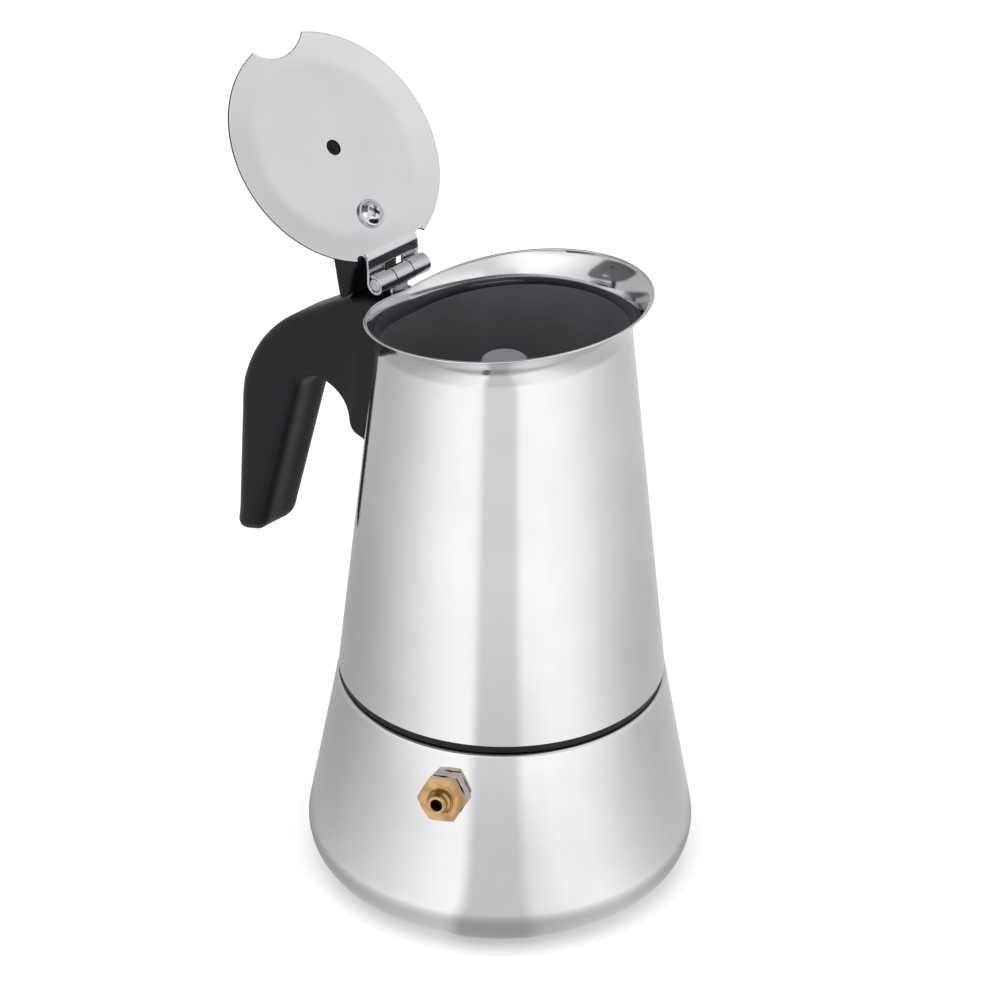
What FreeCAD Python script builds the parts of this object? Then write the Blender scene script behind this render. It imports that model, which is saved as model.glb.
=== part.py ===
import FreeCAD, Part
import math
import os
import Sketcher

# A stove-top moka pot in stainless steel, built as its real pieces.
# Frame: origin at the centre of the underside, +Z up, +X towards the pouring
# spout, the handle on -X. The lid is modelled open, leaning back on the handle.

V = FreeCAD.Vector
doc = FreeCAD.newDocument("MokaPot")

# ---------------------------------------------------------------- counts and shares
CUT = 20.0                # length of a tool that passes right through a piece
PERFORATION_RINGS = 7
HOLES_IN_FIRST_RING = 6
BOSS_SUNK = 1.0           # valve bush's hexagon reaches this far into the wall
VALVE_HEX_TURN = 4        # degrees the brass hexagon stopped past the bush's
VALVE_TUBE_SHARE = 0.45   # part of the valve's tube before it narrows
VALVE_RELIEF = 0.2        # hexagon and shank overlap
SCREW_CROSS_TURN = 45     # degrees
SCREW_CROSS_SHARE = 1.1   # cross recess to the head's radius
SCREW_CROSS_DEPTH = 1.2
SCREW_SLOT_SHARE = 1.4    # slot to the head's radius
SCREW_EDGE = 0.5
SCREW_BEVEL = 0.8
FLARE_RUN = 3.0           # height over which the handle's wall face turns upright
KNUCKLE_SPACE = 2.0       # cleared round the hinge's middle knuckle
SMALL = 1e-6

# ---------------------------------------------------------------- driving sizes
SIZES = {
    # boiler
    "foot_spread": 10.2,            # foot of the cone wall, outside its shoulder
    "foot_corner_radius": 12.8,
    "shoulder_step": 0.4,           # shoulder outside the collector's lower edge
    "shoulder_height": 56.4,
    "shoulder_edge_radius": 1.0,
    "boiler_wall": 0.8,
    "neck_inset": 5.5,              # neck inside the collector's lower edge
    "neck_length": 15.6,
    # thread between boiler and collector
    "thread_pitch": 3.0,
    "thread_depth": 0.9,
    "thread_width": 1.7,
    "thread_start": 4.4,            # above the shoulder
    "thread_length": 7.5,
    "thread_clearance": 0.35,
    # seam between boiler and collector
    "seam_gap": 2.3,
    "seam_recess": 0.6,
    "seam_ring_clearance": 0.5,
    # collector
    "collector_bottom_radius": 41.9,
    "collector_taper": 0.1045,      # loss of radius per unit of height
    "collector_wall": 0.6,
    "weld_gap": 0.02,               # inner pieces stop this far short of the wall
    "collector_height": 95.1,       # to the rim above the handle
    "spout_rise": 13.9,             # rim at the spout, above the rim at the handle
    "spout_lip_height": 11.1,
    "handle_lip_height": 5.9,
    "spout_flare": 6.69,            # rim outside the line of the cone wall
    "handle_flare": 2.438,
    "rim_shape": 0.6,               # under 1 lifts the sides of the rim
    "flare_shape": 1.6,             # over 1 curls the lip outward
    # what closes the top of the boiler
    "flange_thickness": 0.6,
    "gasket_thickness": 3.0,
    "gasket_inset": 0.2,
    "gasket_width": 6.7,
    "gasket_groove": 1.9,
    "gasket_edge_radius": 0.4,
    "gasket_lip": 1.4,
    "filter_thickness": 0.5,
    "filter_clearance": 0.2,
    "perforation_radius": 0.6,
    "filter_hole_pitch": 3.8,
    "funnel_hole_pitch": 4.0,
    "floor_thickness": 0.8,
    # thread ring
    "thread_ring_wall": 1.5,
    "thread_ring_flange": 1.0,
    "thread_ring_height": 12.4,
    # funnel
    "funnel_sheet": 0.5,
    "cup_clearance": 0.8,
    "cup_draft": 0.9,
    "cup_depth": 22.0,
    "cup_cone_height": 9.0,
    "cup_seat_width": 1.6,
    "funnel_tube_radius": 4.5,
    "funnel_tube_end": 5.5,         # gap between the tube's mouth and the boiler's floor
    "funnel_plate_clearance": 0.25,
    # column
    "column_radius": 5.2,
    "column_wall": 0.6,
    "column_foot_radius": 8.0,
    "column_foot_height": 6.0,
    "column_below_rim": 12.4,
    "cap_overlap": 3.0,
    "cap_rise": 5.6,
    "cap_wall": 0.8,
    "cap_edge_radius": 1.0,
    "cap_outlet_radius": 1.5,
    "cap_clearance": 0.05,
    # hinge
    "pin_offset": 2.1,              # pin axis behind the rim
    "pin_dome": 0.4,
    "pin_above_rim": 3.7,
    "hinge_half_width": 9.0,
    "knuckle_radius": 2.6,
    "hinge_sheet": 0.7,
    "hinge_clearance": 0.08,
    "middle_knuckle_half": 2.9,
    "knuckle_gap": 0.3,
    "leaf_length": 16.0,
    "leaf_bend_drop": 1.5,          # bends of the leaf, below the rim
    "leaf_low_bend_drop": 7.5,
    # lid
    "lid_open_angle": 132.4,
    "lid_clearance": 0.37,          # lid's edge inside the collector's neck
    "lid_gap": 0.7,                 # lid's centre nearer the pin than the pot's axis
    "lid_drop": 2.34,               # lid's mid plane below the pin axis when shut
    "lid_sheet": 0.7,
    "lid_slope_width": 7.7,
    "lid_slope_radius": 12.0,
    "lid_plateau_rise": 1.0,
    "lid_bend_inset": 2.0,
    "lid_notch_radius": 12.0,
    "lid_notch_depth": 5.0,
    "lid_relief_inset": 2.7,
    "lid_relief_width": 3.3,
    "window_height": 3.6,
    "peg_radius": 1.9,
    "peg_clearance": 0.1,
    # thumb lever on the lid
    "lever_screw_inset": 12.2,
    "lever_nose_reach": 4.0,
    "lever_nose_half_width": 4.6,
    "lever_tip_half_width": 8.4,
    "lever_nose_thickness": 1.8,
    "lever_neck_reach": 6.0,
    "lever_neck_thickness": 3.0,
    "lever_overhang": 2.1,
    "lever_tip_height": 17.3,
    "lever_tip_lean": 0.6,
    "lever_tip_thickness": 4.5,
    "lever_mid_inset": 6.4,
    "lever_mid_height": 13.0,
    "lever_foot_clearance": 0.6,
    "lever_edge_radius": 1.2,
    "lever_plan_radius": 30.0,
    "lever_nose_radius": 3.0,
    "lever_tip_radius": 1.6,
    "lever_neck_radius": 20.0,
    "lever_back_radius": 60.0,
    "lever_hollow_radius": 5.0,
    "lever_bend_clearance": 0.8,
    "lever_waist": 0.6,
    "screw_dome_width": 1.2,
    "screw_dome_radius": 0.8,
    "screw_rim_height": 0.8,
    "screw_rim_radius": 0.6,
    "screw_radius": 1.6,
    "screw_length": 7.0,
    "screw_head_radius": 3.7,
    "screw_head_height": 2.0,
    "screw_slot_width": 1.0,
    "screw_slot_depth": 1.1,
    # handle
    "handle_width": 14.5,
    "handle_edge_radius": 3.6,
    "handle_wall_gap": 0.1,
    "handle_rim_gap": 0.6,
    "screw_clearance": 0.2,
    "grip_end_rise": 2.8,           # above the collector's lower edge
    "grip_front_rise": 4.5,
    "grip_end_radius": 5.0,
    # the handle's reaches are behind the hinge pin, its drops below the rim
    "handle_back_reach": 56.0,
    "handle_shoulder_reach": 52.1,
    "handle_shoulder_drop": 30.6,
    "handle_shoulder_radius": 49.0,
    "handle_top_reach": 9.5,
    "handle_top_drop": 3.0,
    "handle_top_fall": 1.2,
    "handle_top_radius": 15.0,
    "handle_lap": 6.0,              # blank reaches this far inside the rim
    "grip_front_reach": 44.5,
    "grip_inner_reach": 29.1,
    "arch_reach": 11.7,
    "arch_drop": 32.3,
    "arch_radius": 7.0,
    "foot_reach": 10.9,
    "foot_drop": 44.2,
    "foot_fall": 3.0,
    "foot_radius": 2.0,
    "tongue_width": 8.0,
    "tongue_thickness": 2.0,
    "tongue_reach": 10.5,
    "tongue_drop": 29.8,
    "tongue_leg": 12.0,
    "tongue_clearance": 0.1,
    "handle_screw_reach": 6.1,
    "handle_screw_radius": 2.0,
    "handle_screw_head_radius": 3.4,
    "handle_screw_head_height": 2.2,
    "handle_screw_recess": 8.0,
    "handle_screw_grip": 1.5,       # thread beyond the tongue
    # safety valve
    "valve_below_shoulder": 11.6,
    "valve_azimuth": -65.3,
    "hex_circumradius": 6.4,
    "boss_length": 1.8,
    "boss_spigot_radius": 5.2,
    "boss_spigot_length": 2.2,
    "valve_shank_radius": 3.9,
    "washer_thickness": 0.4,
    "washer_radius": 6.0,
    "valve_hex_length": 2.4,
    "valve_tube_radius": 2.9,
    "valve_tip_radius": 2.3,
    "valve_tube_length": 3.5,
    "valve_inner_length": 5.0,      # shank inside the wall's outer face
    "valve_chamber_radius": 2.8,
    "valve_hole_radius": 1.25,
    "valve_fit": 0.05,
    "seat_thickness": 2.0,
    "plunger_head_radius": 2.4,
    "plunger_head_length": 1.2,
    "plunger_stem_radius": 0.95,
    "plunger_stem_length": 7.0,
    "spring_wire_radius": 0.25,
    "spring_radius": 1.9,
    "spring_turns": 5.0,
    "spring_end_gap": 0.05,
}

sheet = doc.addObject("Spreadsheet::Sheet", "Sizes")
for row, (alias, number) in enumerate(SIZES.items(), start=1):
    sheet.set(f"A{row}", alias)
    sheet.set(f"B{row}", str(number))
    sheet.setAlias(f"B{row}", alias)
doc.recompute()


class Size:
    """A number that keeps the sheet expression it was worked out from."""

    def __init__(self, value, text):
        self.value = value
        self.text = text

    def __add__(self, other):
        other = as_size(other)
        return Size(self.value + other.value, f"({self.text} + {other.text})")

    def __sub__(self, other):
        other = as_size(other)
        return Size(self.value - other.value, f"({self.text} - {other.text})")

    def __mul__(self, other):
        other = as_size(other)
        return Size(self.value * other.value, f"({self.text} * {other.text})")

    def __truediv__(self, other):
        other = as_size(other)
        return Size(self.value / other.value, f"({self.text} / {other.text})")

    def __neg__(self):
        return Size(-self.value, f"(0 - {self.text})")


def as_size(number):
    return number if isinstance(number, Size) else Size(float(number), f"{float(number)}")


def cosine(angle):
    return Size(math.cos(math.radians(angle.value)), f"cos({angle.text} * 1 deg)")


def sine(angle):
    return Size(math.sin(math.radians(angle.value)), f"sin({angle.text} * 1 deg)")


def root(number):
    return Size(math.sqrt(number.value), f"sqrt({number.text})")


class Sizes:
    """Reads a cell of the sheet by its alias."""

    def __getattr__(self, alias):
        return Size(float(sheet.get(alias)), f"Sizes.{alias}")


S = Sizes()
PARTS = {}


# ---------------------------------------------------------------- small helpers
def bind(thing, prop, number):
    """Sets a property and ties it to the sheet."""
    thing.setExpression(prop, as_size(number).text)


def keep(thing, label):
    """Names a finished piece."""
    thing.Label = label
    PARTS[label] = thing
    return thing


def place(thing, where, axis=V(0, 0, 1), turn=0):
    """Puts a piece at a point of the pot's frame, turned about an axis."""
    where = [as_size(number) for number in where]
    turn = as_size(turn)
    spot = V(*(number.value for number in where))
    thing.Placement = FreeCAD.Placement(spot, FreeCAD.Rotation(axis, turn.value))
    for name, number in zip("xyz", where):
        bind(thing, f"Placement.Base.{name}", number)
    return thing


def origin_plane(body, role):
    return next(f for f in body.Origin.OriginFeatures if f.Role == role)


def corner_data(corners, index):
    """Where the outline leaves and rejoins its straight edges at a rounded corner."""
    x, y, radius = corners[index]
    here = V(x.value, y.value, 0)
    before = V(corners[index - 1][0].value, corners[index - 1][1].value, 0)
    following = corners[(index + 1) % len(corners)]
    after = V(following[0].value, following[1].value, 0)
    back = (before - here).normalize()
    ahead = (after - here).normalize()
    half = back.getAngle(ahead) / 2
    reach = radius.value / math.tan(half)
    centre = here + (back + ahead).normalize() * (radius.value / math.sin(half))
    left_turn = (back.cross(ahead)).z < 0
    return here + back * reach, here + ahead * reach, centre, left_turn


def outline(body, name, corners, role="XZ_Plane"):
    """A closed sketch of straight edges; a third number rounds that corner."""
    corners = [tuple(as_size(n) for n in corner) for corner in corners]
    corners = [corner if len(corner) == 3 else corner + (None,) for corner in corners]
    sketch = body.newObject("Sketcher::SketchObject", name)
    sketch.AttachmentSupport = (origin_plane(body, role), [""])
    sketch.MapMode = "FlatFace"
    count = len(corners)
    starts, ends, arcs = {}, {}, {}
    for i, (x, y, radius) in enumerate(corners):
        here = V(x.value, y.value, 0)
        ends[i], starts[i] = here, here
        if radius is not None:
            ends[i], starts[i], centre, left_turn = corner_data(corners, i)
            arcs[i] = (centre, radius, left_turn)
    marks, lines, bends = [], [], {}
    for i, (x, y, radius) in enumerate(corners):
        marks.append(sketch.addGeometry(Part.Point(V(x.value, y.value, 0)), True))
    for i in range(count):
        edge = Part.LineSegment(starts[i], ends[(i + 1) % count])
        lines.append(sketch.addGeometry(edge, False))
    for i, (centre, radius, left_turn) in arcs.items():
        first, last = (ends[i], starts[i]) if left_turn else (starts[i], ends[i])
        a = math.atan2(first.y - centre.y, first.x - centre.x)
        b = math.atan2(last.y - centre.y, last.x - centre.x)
        circle = Part.Circle(centre, V(0, 0, 1), radius.value)
        bends[i] = sketch.addGeometry(Part.ArcOfCircle(circle, a, b), False)
    for i, (x, y, radius) in enumerate(corners):
        across = sketch.addConstraint(Sketcher.Constraint("DistanceX", marks[i], 1, x.value))
        up = sketch.addConstraint(Sketcher.Constraint("DistanceY", marks[i], 1, y.value))
        sketch.renameConstraint(across, f"x{i}")
        sketch.renameConstraint(up, f"y{i}")
        before, after = lines[i - 1], lines[i]
        if radius is None:
            sketch.addConstraint(Sketcher.Constraint("Coincident", before, 2, marks[i], 1))
            sketch.addConstraint(Sketcher.Constraint("Coincident", after, 1, marks[i], 1))
        else:
            into, out = (1, 2) if arcs[i][2] else (2, 1)
            sketch.addConstraint(Sketcher.Constraint("PointOnObject", marks[i], 1, before))
            sketch.addConstraint(Sketcher.Constraint("PointOnObject", marks[i], 1, after))
            sketch.addConstraint(Sketcher.Constraint("Tangent", before, 2, bends[i], into))
            sketch.addConstraint(Sketcher.Constraint("Tangent", after, 1, bends[i], out))
            bend = sketch.addConstraint(Sketcher.Constraint("Radius", bends[i], radius.value))
            sketch.renameConstraint(bend, f"r{i}")
            sketch.setExpression(f"Constraints.r{i}", radius.text)
        sketch.setExpression(f"Constraints.x{i}", x.text)
        sketch.setExpression(f"Constraints.y{i}", y.text)
    return sketch


def turned(name, corners):
    """A body of revolution about its own Z axis; corners are (radius, height)."""
    body = doc.addObject("PartDesign::Body", name)
    sketch = outline(body, f"{name}_outline", corners)
    spin = body.newObject("PartDesign::Revolution", f"{name}_turn")
    spin.Profile = sketch
    spin.ReferenceAxis = (sketch, ["V_Axis"])
    spin.Angle = 360
    sketch.Visibility = False
    return body


def plate(name, corners, thickness, role="XZ_Plane"):
    """A body cut from plate to an outline, centred on its own plane."""
    body = doc.addObject("PartDesign::Body", name)
    sketch = outline(body, f"{name}_outline", corners, role)
    pad = body.newObject("PartDesign::Pad", f"{name}_pad")
    pad.Profile = sketch
    bind(pad, "Length", thickness)
    pad.Midplane = True
    return body


def rod(name, radius, length):
    piece = doc.addObject("Part::Cylinder", name)
    bind(piece, "Radius", radius)
    bind(piece, "Height", length)
    return piece


def block(name, length, width, height):
    piece = doc.addObject("Part::Box", name)
    bind(piece, "Length", length)
    bind(piece, "Width", width)
    bind(piece, "Height", height)
    return piece


def hexagon(name, circumradius, length, turn):
    piece = doc.addObject("Part::Prism", name)
    piece.Polygon = 6
    bind(piece, "Circumradius", circumradius)
    bind(piece, "Height", length)
    piece.Placement = FreeCAD.Placement(V(), FreeCAD.Rotation(V(0, 0, 1), turn))
    return piece


def cut(name, base, *tools):
    """Takes every tool away from the base."""
    for i, tool in enumerate(tools):
        step = doc.addObject("Part::Cut", f"{name}_cut{i}")
        step.Base = base
        step.Tool = tool
        base = step
    return base


def joined(name, *pieces):
    piece = doc.addObject("Part::MultiFuse", name)
    piece.Shapes = list(pieces)
    return piece


def shared(name, first, second):
    piece = doc.addObject("Part::Common", name)
    piece.Base = first
    piece.Tool = second
    return piece


# ---------------------------------------------------------------- shared sizes
shoulder_radius = S.collector_bottom_radius + S.shoulder_step
cone_foot_radius = shoulder_radius + S.foot_spread
neck_radius = S.collector_bottom_radius - S.neck_inset
boiler_slope = S.foot_spread / S.shoulder_height
slant = root(boiler_slope * boiler_slope + 1)

neck_top = S.shoulder_height + S.neck_length
collector_bottom = S.shoulder_height + S.seam_gap
flange_top = neck_top + S.flange_thickness
floor_bottom = flange_top + S.gasket_thickness
floor_top = floor_bottom + S.floor_thickness

gasket_radius = neck_radius - S.gasket_inset
gasket_bore_radius = gasket_radius - S.gasket_width
gasket_groove_radius = gasket_bore_radius + S.gasket_groove


def boiler_radius(height):
    """Outside of the boiler's cone wall."""
    return cone_foot_radius - boiler_slope * height


def collector_radius(height):
    """Outside of the collector's cone wall."""
    return S.collector_bottom_radius - S.collector_taper * (height - collector_bottom)


def collector_bore(height):
    """What fits inside the collector's cone wall."""
    return collector_radius(height) - S.collector_wall - S.weld_gap


# the rim and the neck below it, above the collector's lower edge
spout_rim_height = S.collector_height + S.spout_rise
spout_neck_height = spout_rim_height - S.spout_lip_height
handle_neck_height = S.collector_height - S.handle_lip_height
rim_at_handle = collector_bottom + S.collector_height
spout_rim_radius = collector_radius(collector_bottom + spout_rim_height) + S.spout_flare
handle_rim_radius = collector_radius(rim_at_handle) + S.handle_flare
column_top = rim_at_handle - S.column_below_rim
valve_height = S.shoulder_height - S.valve_below_shoulder

pin_setback = handle_rim_radius + S.pin_offset
pin_height = rim_at_handle + S.pin_above_rim
pin_radius = S.knuckle_radius - S.hinge_sheet - S.hinge_clearance
lid_radius = collector_radius(collector_bottom + spout_neck_height) - S.lid_clearance
lid_reach = pin_setback - S.lid_gap
lid_plateau_radius = lid_radius - S.lid_slope_width
lid_bend_reach = lid_radius - S.lid_bend_inset
lid_relief_reach = lid_radius - S.lid_relief_inset
lever_screw_reach = lid_radius - S.lever_screw_inset
lever_tip_reach = lid_radius + S.lever_overhang
lever_mid_reach = lid_radius - S.lever_mid_inset

tongue_height = rim_at_handle - S.tongue_drop
screw_reach = pin_setback + S.handle_screw_reach


# ---------------------------------------------------------------- thread
def thread_profile(body, name, root_radius, depth, width, start):
    """A trapezium, rooted just inside the cylinder that carries it."""
    sunk = 0.3
    tip = width * 0.35
    return outline(body, name, [
        (root_radius - sunk, start - width / 2),
        (root_radius, start - width / 2),
        (root_radius + depth, start - tip / 2),
        (root_radius + depth, start + tip / 2),
        (root_radius, start + width / 2),
        (root_radius - sunk, start + width / 2),
    ])


def add_thread(body, kind, sketch, height):
    thread = body.newObject(kind, f"{body.Name}_thread")
    thread.Profile = sketch
    thread.ReferenceAxis = (sketch, ["V_Axis"])
    thread.Mode = 0
    bind(thread, "Pitch", S.thread_pitch)
    bind(thread, "Height", height)
    return thread


# ---------------------------------------------------------------- boiler
def valve_frame(thing, along):
    """Stands a piece on the valve's axis, `along` out from the boiler's wall."""
    azimuth = math.radians(S.valve_azimuth.value)
    axis = V(-math.sin(azimuth), math.cos(azimuth), 0)
    tilt = math.degrees(math.atan(boiler_slope.value))
    level = along / slant
    reach = boiler_radius(valve_height) + level
    where = (reach * cosine(S.valve_azimuth), reach * sine(S.valve_azimuth),
             valve_height + level * boiler_slope)
    place(thing, where)
    turn = FreeCAD.Rotation(axis, 90 - tilt) * thing.Placement.Rotation
    thing.Placement.Rotation = turn
    return thing


def valve_hexagon(name, length, extra_turn):
    azimuth = S.valve_azimuth.value
    return hexagon(name, S.hex_circumradius, length, azimuth + 90 + extra_turn)


def make_boiler_shell():
    wall = S.boiler_wall
    inner_foot = cone_foot_radius - wall * slant
    body = turned("boiler_blank", [
        (0, 0),
        (cone_foot_radius, 0, S.foot_corner_radius),
        (shoulder_radius, S.shoulder_height, S.shoulder_edge_radius),
        (neck_radius, S.shoulder_height),
        (neck_radius, neck_top),
        (neck_radius - wall, neck_top),
        (neck_radius - wall, S.shoulder_height - wall),
        (inner_foot - boiler_slope * (S.shoulder_height - wall), S.shoulder_height - wall),
        (inner_foot - boiler_slope * wall, wall, S.foot_corner_radius - wall),
        (0, wall),
    ])
    doc.recompute()
    profile = thread_profile(body, "neck_thread", neck_radius, S.thread_depth,
                             S.thread_width, S.shoulder_height + S.thread_start)
    add_thread(body, "PartDesign::AdditiveHelix", profile, S.thread_length)
    hole = rod("valve_hole", S.boss_spigot_radius + S.valve_fit, 8)
    valve_frame(hole, as_size(-4))
    keep(cut("boiler", body, hole), "boiler_shell")


def make_seam_ring():
    outer = S.collector_bottom_radius - S.seam_recess
    edge = 0.5
    inner = neck_radius + S.seam_ring_clearance
    keep(turned("seam_ring", [
        (inner, S.shoulder_height),
        (outer, S.shoulder_height, edge),
        (outer, collector_bottom, edge),
        (inner, collector_bottom),
    ]), "seam_ring")


# ---------------------------------------------------------------- safety valve
def make_valve():
    washer_face = S.boss_length
    hex_face = washer_face + S.washer_thickness
    tube_face = hex_face + S.valve_hex_length
    tip_face = tube_face + S.valve_tube_length
    inner_end = -S.valve_inner_length
    chamber_end = hex_face

    # bush welded to the wall: its back follows the cone
    hexa = valve_hexagon("boss_hexagon", S.boss_length + BOSS_SUNK, 0)
    valve_frame(hexa, as_size(-BOSS_SUNK))
    cone = doc.addObject("Part::Cone", "boiler_envelope")
    bind(cone, "Radius1", cone_foot_radius)
    bind(cone, "Radius2", shoulder_radius)
    bind(cone, "Height", S.shoulder_height)
    spigot = valve_frame(rod("boss_spigot", S.boss_spigot_radius,
                             S.boss_spigot_length + S.boss_length), -S.boss_spigot_length)
    bore = valve_frame(rod("boss_bore", S.valve_shank_radius + S.valve_fit, CUT), as_size(-CUT / 2))
    boss = joined("boss_solid", cut("boss_trim", hexa, cone), spigot)
    keep(cut("boss", boss, bore), "valve_boss")

    washer = turned("washer", [
        (S.valve_shank_radius + S.valve_fit, 0), (S.washer_radius, 0),
        (S.washer_radius, S.washer_thickness),
        (S.valve_shank_radius + S.valve_fit, S.washer_thickness),
    ])
    keep(valve_frame(washer, washer_face), "valve_washer")

    # brass body: threaded shank, hexagon and a short tube
    bevel = 0.5
    core = turned("valve_core", [
        (S.valve_chamber_radius, inner_end),
        (S.valve_shank_radius, inner_end),
        (S.valve_shank_radius, tube_face),
        (S.valve_tube_radius, tube_face),
        (S.valve_tube_radius, tube_face + S.valve_tube_length * VALVE_TUBE_SHARE),
        (S.valve_tip_radius, tip_face - bevel),
        (S.valve_tip_radius - bevel, tip_face),
        (S.valve_hole_radius, tip_face),
        (S.valve_hole_radius, chamber_end),
        (S.valve_chamber_radius, chamber_end),
    ])
    valve_frame(core, as_size(0))
    hexa = valve_hexagon("valve_hexagon", S.valve_hex_length, VALVE_HEX_TURN)
    valve_frame(hexa, hex_face)
    relief = valve_frame(rod("valve_relief", S.valve_shank_radius - VALVE_RELIEF, CUT * 2),
                         as_size(-CUT))
    hollow = cut("valve_hexagon", hexa, relief)
    keep(joined("valve_solid", hollow, core), "valve_body")

    seat_radius = S.valve_chamber_radius - S.valve_fit
    seat = turned("seat", [
        (S.plunger_stem_radius, inner_end), (seat_radius, inner_end),
        (seat_radius, inner_end + S.seat_thickness),
        (S.plunger_stem_radius, inner_end + S.seat_thickness),
    ])
    keep(valve_frame(seat, as_size(0)), "valve_seat")

    head = inner_end + S.seat_thickness
    neck = head + S.plunger_head_length
    plunger = turned("plunger", [
        (0, head), (S.plunger_head_radius, head), (S.plunger_head_radius, neck),
        (S.plunger_stem_radius, neck), (S.plunger_stem_radius, neck + S.plunger_stem_length),
        (0, neck + S.plunger_stem_length),
    ])
    keep(valve_frame(plunger, as_size(0)), "valve_plunger")

    # coil spring between the plunger's head and the end of the chamber
    lift = S.spring_wire_radius + S.spring_end_gap
    coil_length = chamber_end - neck - lift * 2
    helix = doc.addObject("Part::Helix", "spring_path")
    bind(helix, "Radius", S.spring_radius)
    bind(helix, "Height", coil_length)
    bind(helix, "Pitch", coil_length / S.spring_turns)
    wire = doc.addObject("Part::Circle", "spring_wire")
    bind(wire, "Radius", S.spring_wire_radius)
    place(wire, (S.spring_radius, 0, 0), V(1, 0, 0), 90)
    coil = doc.addObject("Part::Sweep", "spring_coil")
    coil.Sections = [wire]
    coil.Spine = (helix, ["Edge1"])
    coil.Solid = True
    coil.Frenet = True
    keep(valve_frame(coil, neck + lift), "valve_spring")


# ---------------------------------------------------------------- funnel
def perforated(name, radius, thickness, height, hole_pitch):
    """A round plate with rings of holes, evenly spaced along each ring."""
    disc = rod(f"{name}_disc", radius, thickness)
    place(disc, (0, 0, height))
    drill = doc.addObject("Part::Feature", f"{name}_holes")
    holes = []
    for ring in range(1, PERFORATION_RINGS + 1):
        reach = ring * hole_pitch.value
        count = HOLES_IN_FIRST_RING * ring
        for i in range(count):
            angle = 2 * math.pi * i / count
            spot = V(reach * math.cos(angle), reach * math.sin(angle), height.value - CUT / 2)
            holes.append(Part.makeCylinder(S.perforation_radius.value, CUT, spot))
    drill.Shape = Part.makeCompound(holes)
    return cut(name, disc, drill)


def make_funnel():
    sheet_wall = S.funnel_sheet
    cup_top = neck_radius - S.boiler_wall - S.cup_clearance
    cup_low = cup_top - S.cup_draft
    cup_floor = neck_top - S.cup_depth
    seat = cup_low - S.cup_seat_width
    tube_top = cup_floor - S.cup_cone_height
    tube = S.funnel_tube_radius
    keep(turned("funnel_cup", [
        (gasket_radius, neck_top),
        (gasket_radius, flange_top),
        (cup_top - sheet_wall, flange_top),
        (cup_low - sheet_wall, cup_floor),
        (seat - sheet_wall, cup_floor),
        (tube, tube_top + sheet_wall),
        (tube, tube_top - 4),
        (tube + sheet_wall, tube_top - 4),
        (tube + sheet_wall, tube_top),
        (seat, cup_floor - sheet_wall),
        (cup_low, cup_floor - sheet_wall),
        (cup_top, neck_top),
    ]), "funnel_cup")
    plate_radius = cup_low - sheet_wall - S.funnel_plate_clearance
    keep(perforated("funnel_plate", plate_radius, S.filter_thickness, cup_floor,
                    S.funnel_hole_pitch), "funnel_plate")
    keep(turned("funnel_tube", [
        (tube - sheet_wall, S.boiler_wall + S.funnel_tube_end),
        (tube, S.boiler_wall + S.funnel_tube_end),
        (tube, tube_top + sheet_wall),
        (tube - sheet_wall, tube_top + sheet_wall),
    ]), "funnel_tube")


def make_gasket():
    lip = floor_bottom - S.gasket_lip
    keep(turned("gasket", [
        (gasket_groove_radius, flange_top),
        (gasket_radius, flange_top, S.gasket_edge_radius),
        (gasket_radius, floor_bottom),
        (gasket_bore_radius, floor_bottom),
        (gasket_bore_radius, lip),
        (gasket_groove_radius, lip),
    ]), "gasket")
    radius = gasket_groove_radius - S.filter_clearance
    keep(perforated("filter_plate", radius, S.filter_thickness, lip - S.filter_thickness,
                    S.filter_hole_pitch), "filter_plate")


# ---------------------------------------------------------------- collector
LIP_STEPS = 5
ROUND_POINTS = 48


def rim_share(angle):
    """0 at the handle, 1 at the spout."""
    return ((1 + math.cos(angle)) / 2) ** S.rim_shape.value


def lip_point(angle, share, inset):
    """A point of the collector's lip; share runs from the neck, 0, to the rim, 1."""
    g = rim_share(angle)
    low = handle_neck_height.value + g * (spout_neck_height - handle_neck_height).value
    high = S.collector_height.value + g * S.spout_rise.value
    rim_radius = handle_rim_radius.value
    rim_radius += g * (spout_rim_radius - handle_rim_radius).value
    level = collector_bottom.value + low + share * (high - low)
    top = collector_bottom.value + high
    flare = rim_radius - collector_radius(as_size(top)).value
    radius = collector_radius(as_size(level)).value + flare * share ** S.flare_shape.value
    radius -= inset
    return V(radius * math.cos(angle), radius * math.sin(angle), level)


def round_edge(point_at):
    """A closed smooth edge through points spaced evenly round the pot's axis."""
    angles = [2 * math.pi * i / ROUND_POINTS for i in range(ROUND_POINTS)]
    curve = Part.BSplineCurve()
    curve.interpolate(Points=[point_at(a) for a in angles], PeriodicFlag=True,
                      Parameters=angles + [2 * math.pi])
    return curve.toShape()


def make_collector_shell():
    wall = S.collector_wall.value

    def foot(inset):
        radius = S.collector_bottom_radius.value - inset
        return round_edge(lambda a: V(radius * math.cos(a), radius * math.sin(a),
                                      collector_bottom.value))

    def lip(share, inset):
        return round_edge(lambda a: lip_point(a, share, inset))

    faces = []
    for inset in (0.0, wall):
        rings = [Part.Wire(lip(i / LIP_STEPS, inset)) for i in range(LIP_STEPS + 1)]
        faces += Part.makeLoft(rings, False, False).Faces
        faces += Part.makeRuledSurface(foot(inset), lip(0, inset)).Faces
    faces += Part.makeRuledSurface(foot(0.0), foot(wall)).Faces
    faces += Part.makeRuledSurface(lip(1, 0.0), lip(1, wall)).Faces
    skin = Part.makeCompound(faces)
    skin.sewShape()
    solid = Part.Solid(skin.Shells[0] if skin.Shells else Part.Shell(skin.Faces))
    if solid.Volume < 0:
        solid.reverse()
    shell = doc.addObject("Part::Feature", "collector_shell")
    shell.Shape = solid
    keep(shell, "collector_shell")


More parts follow.
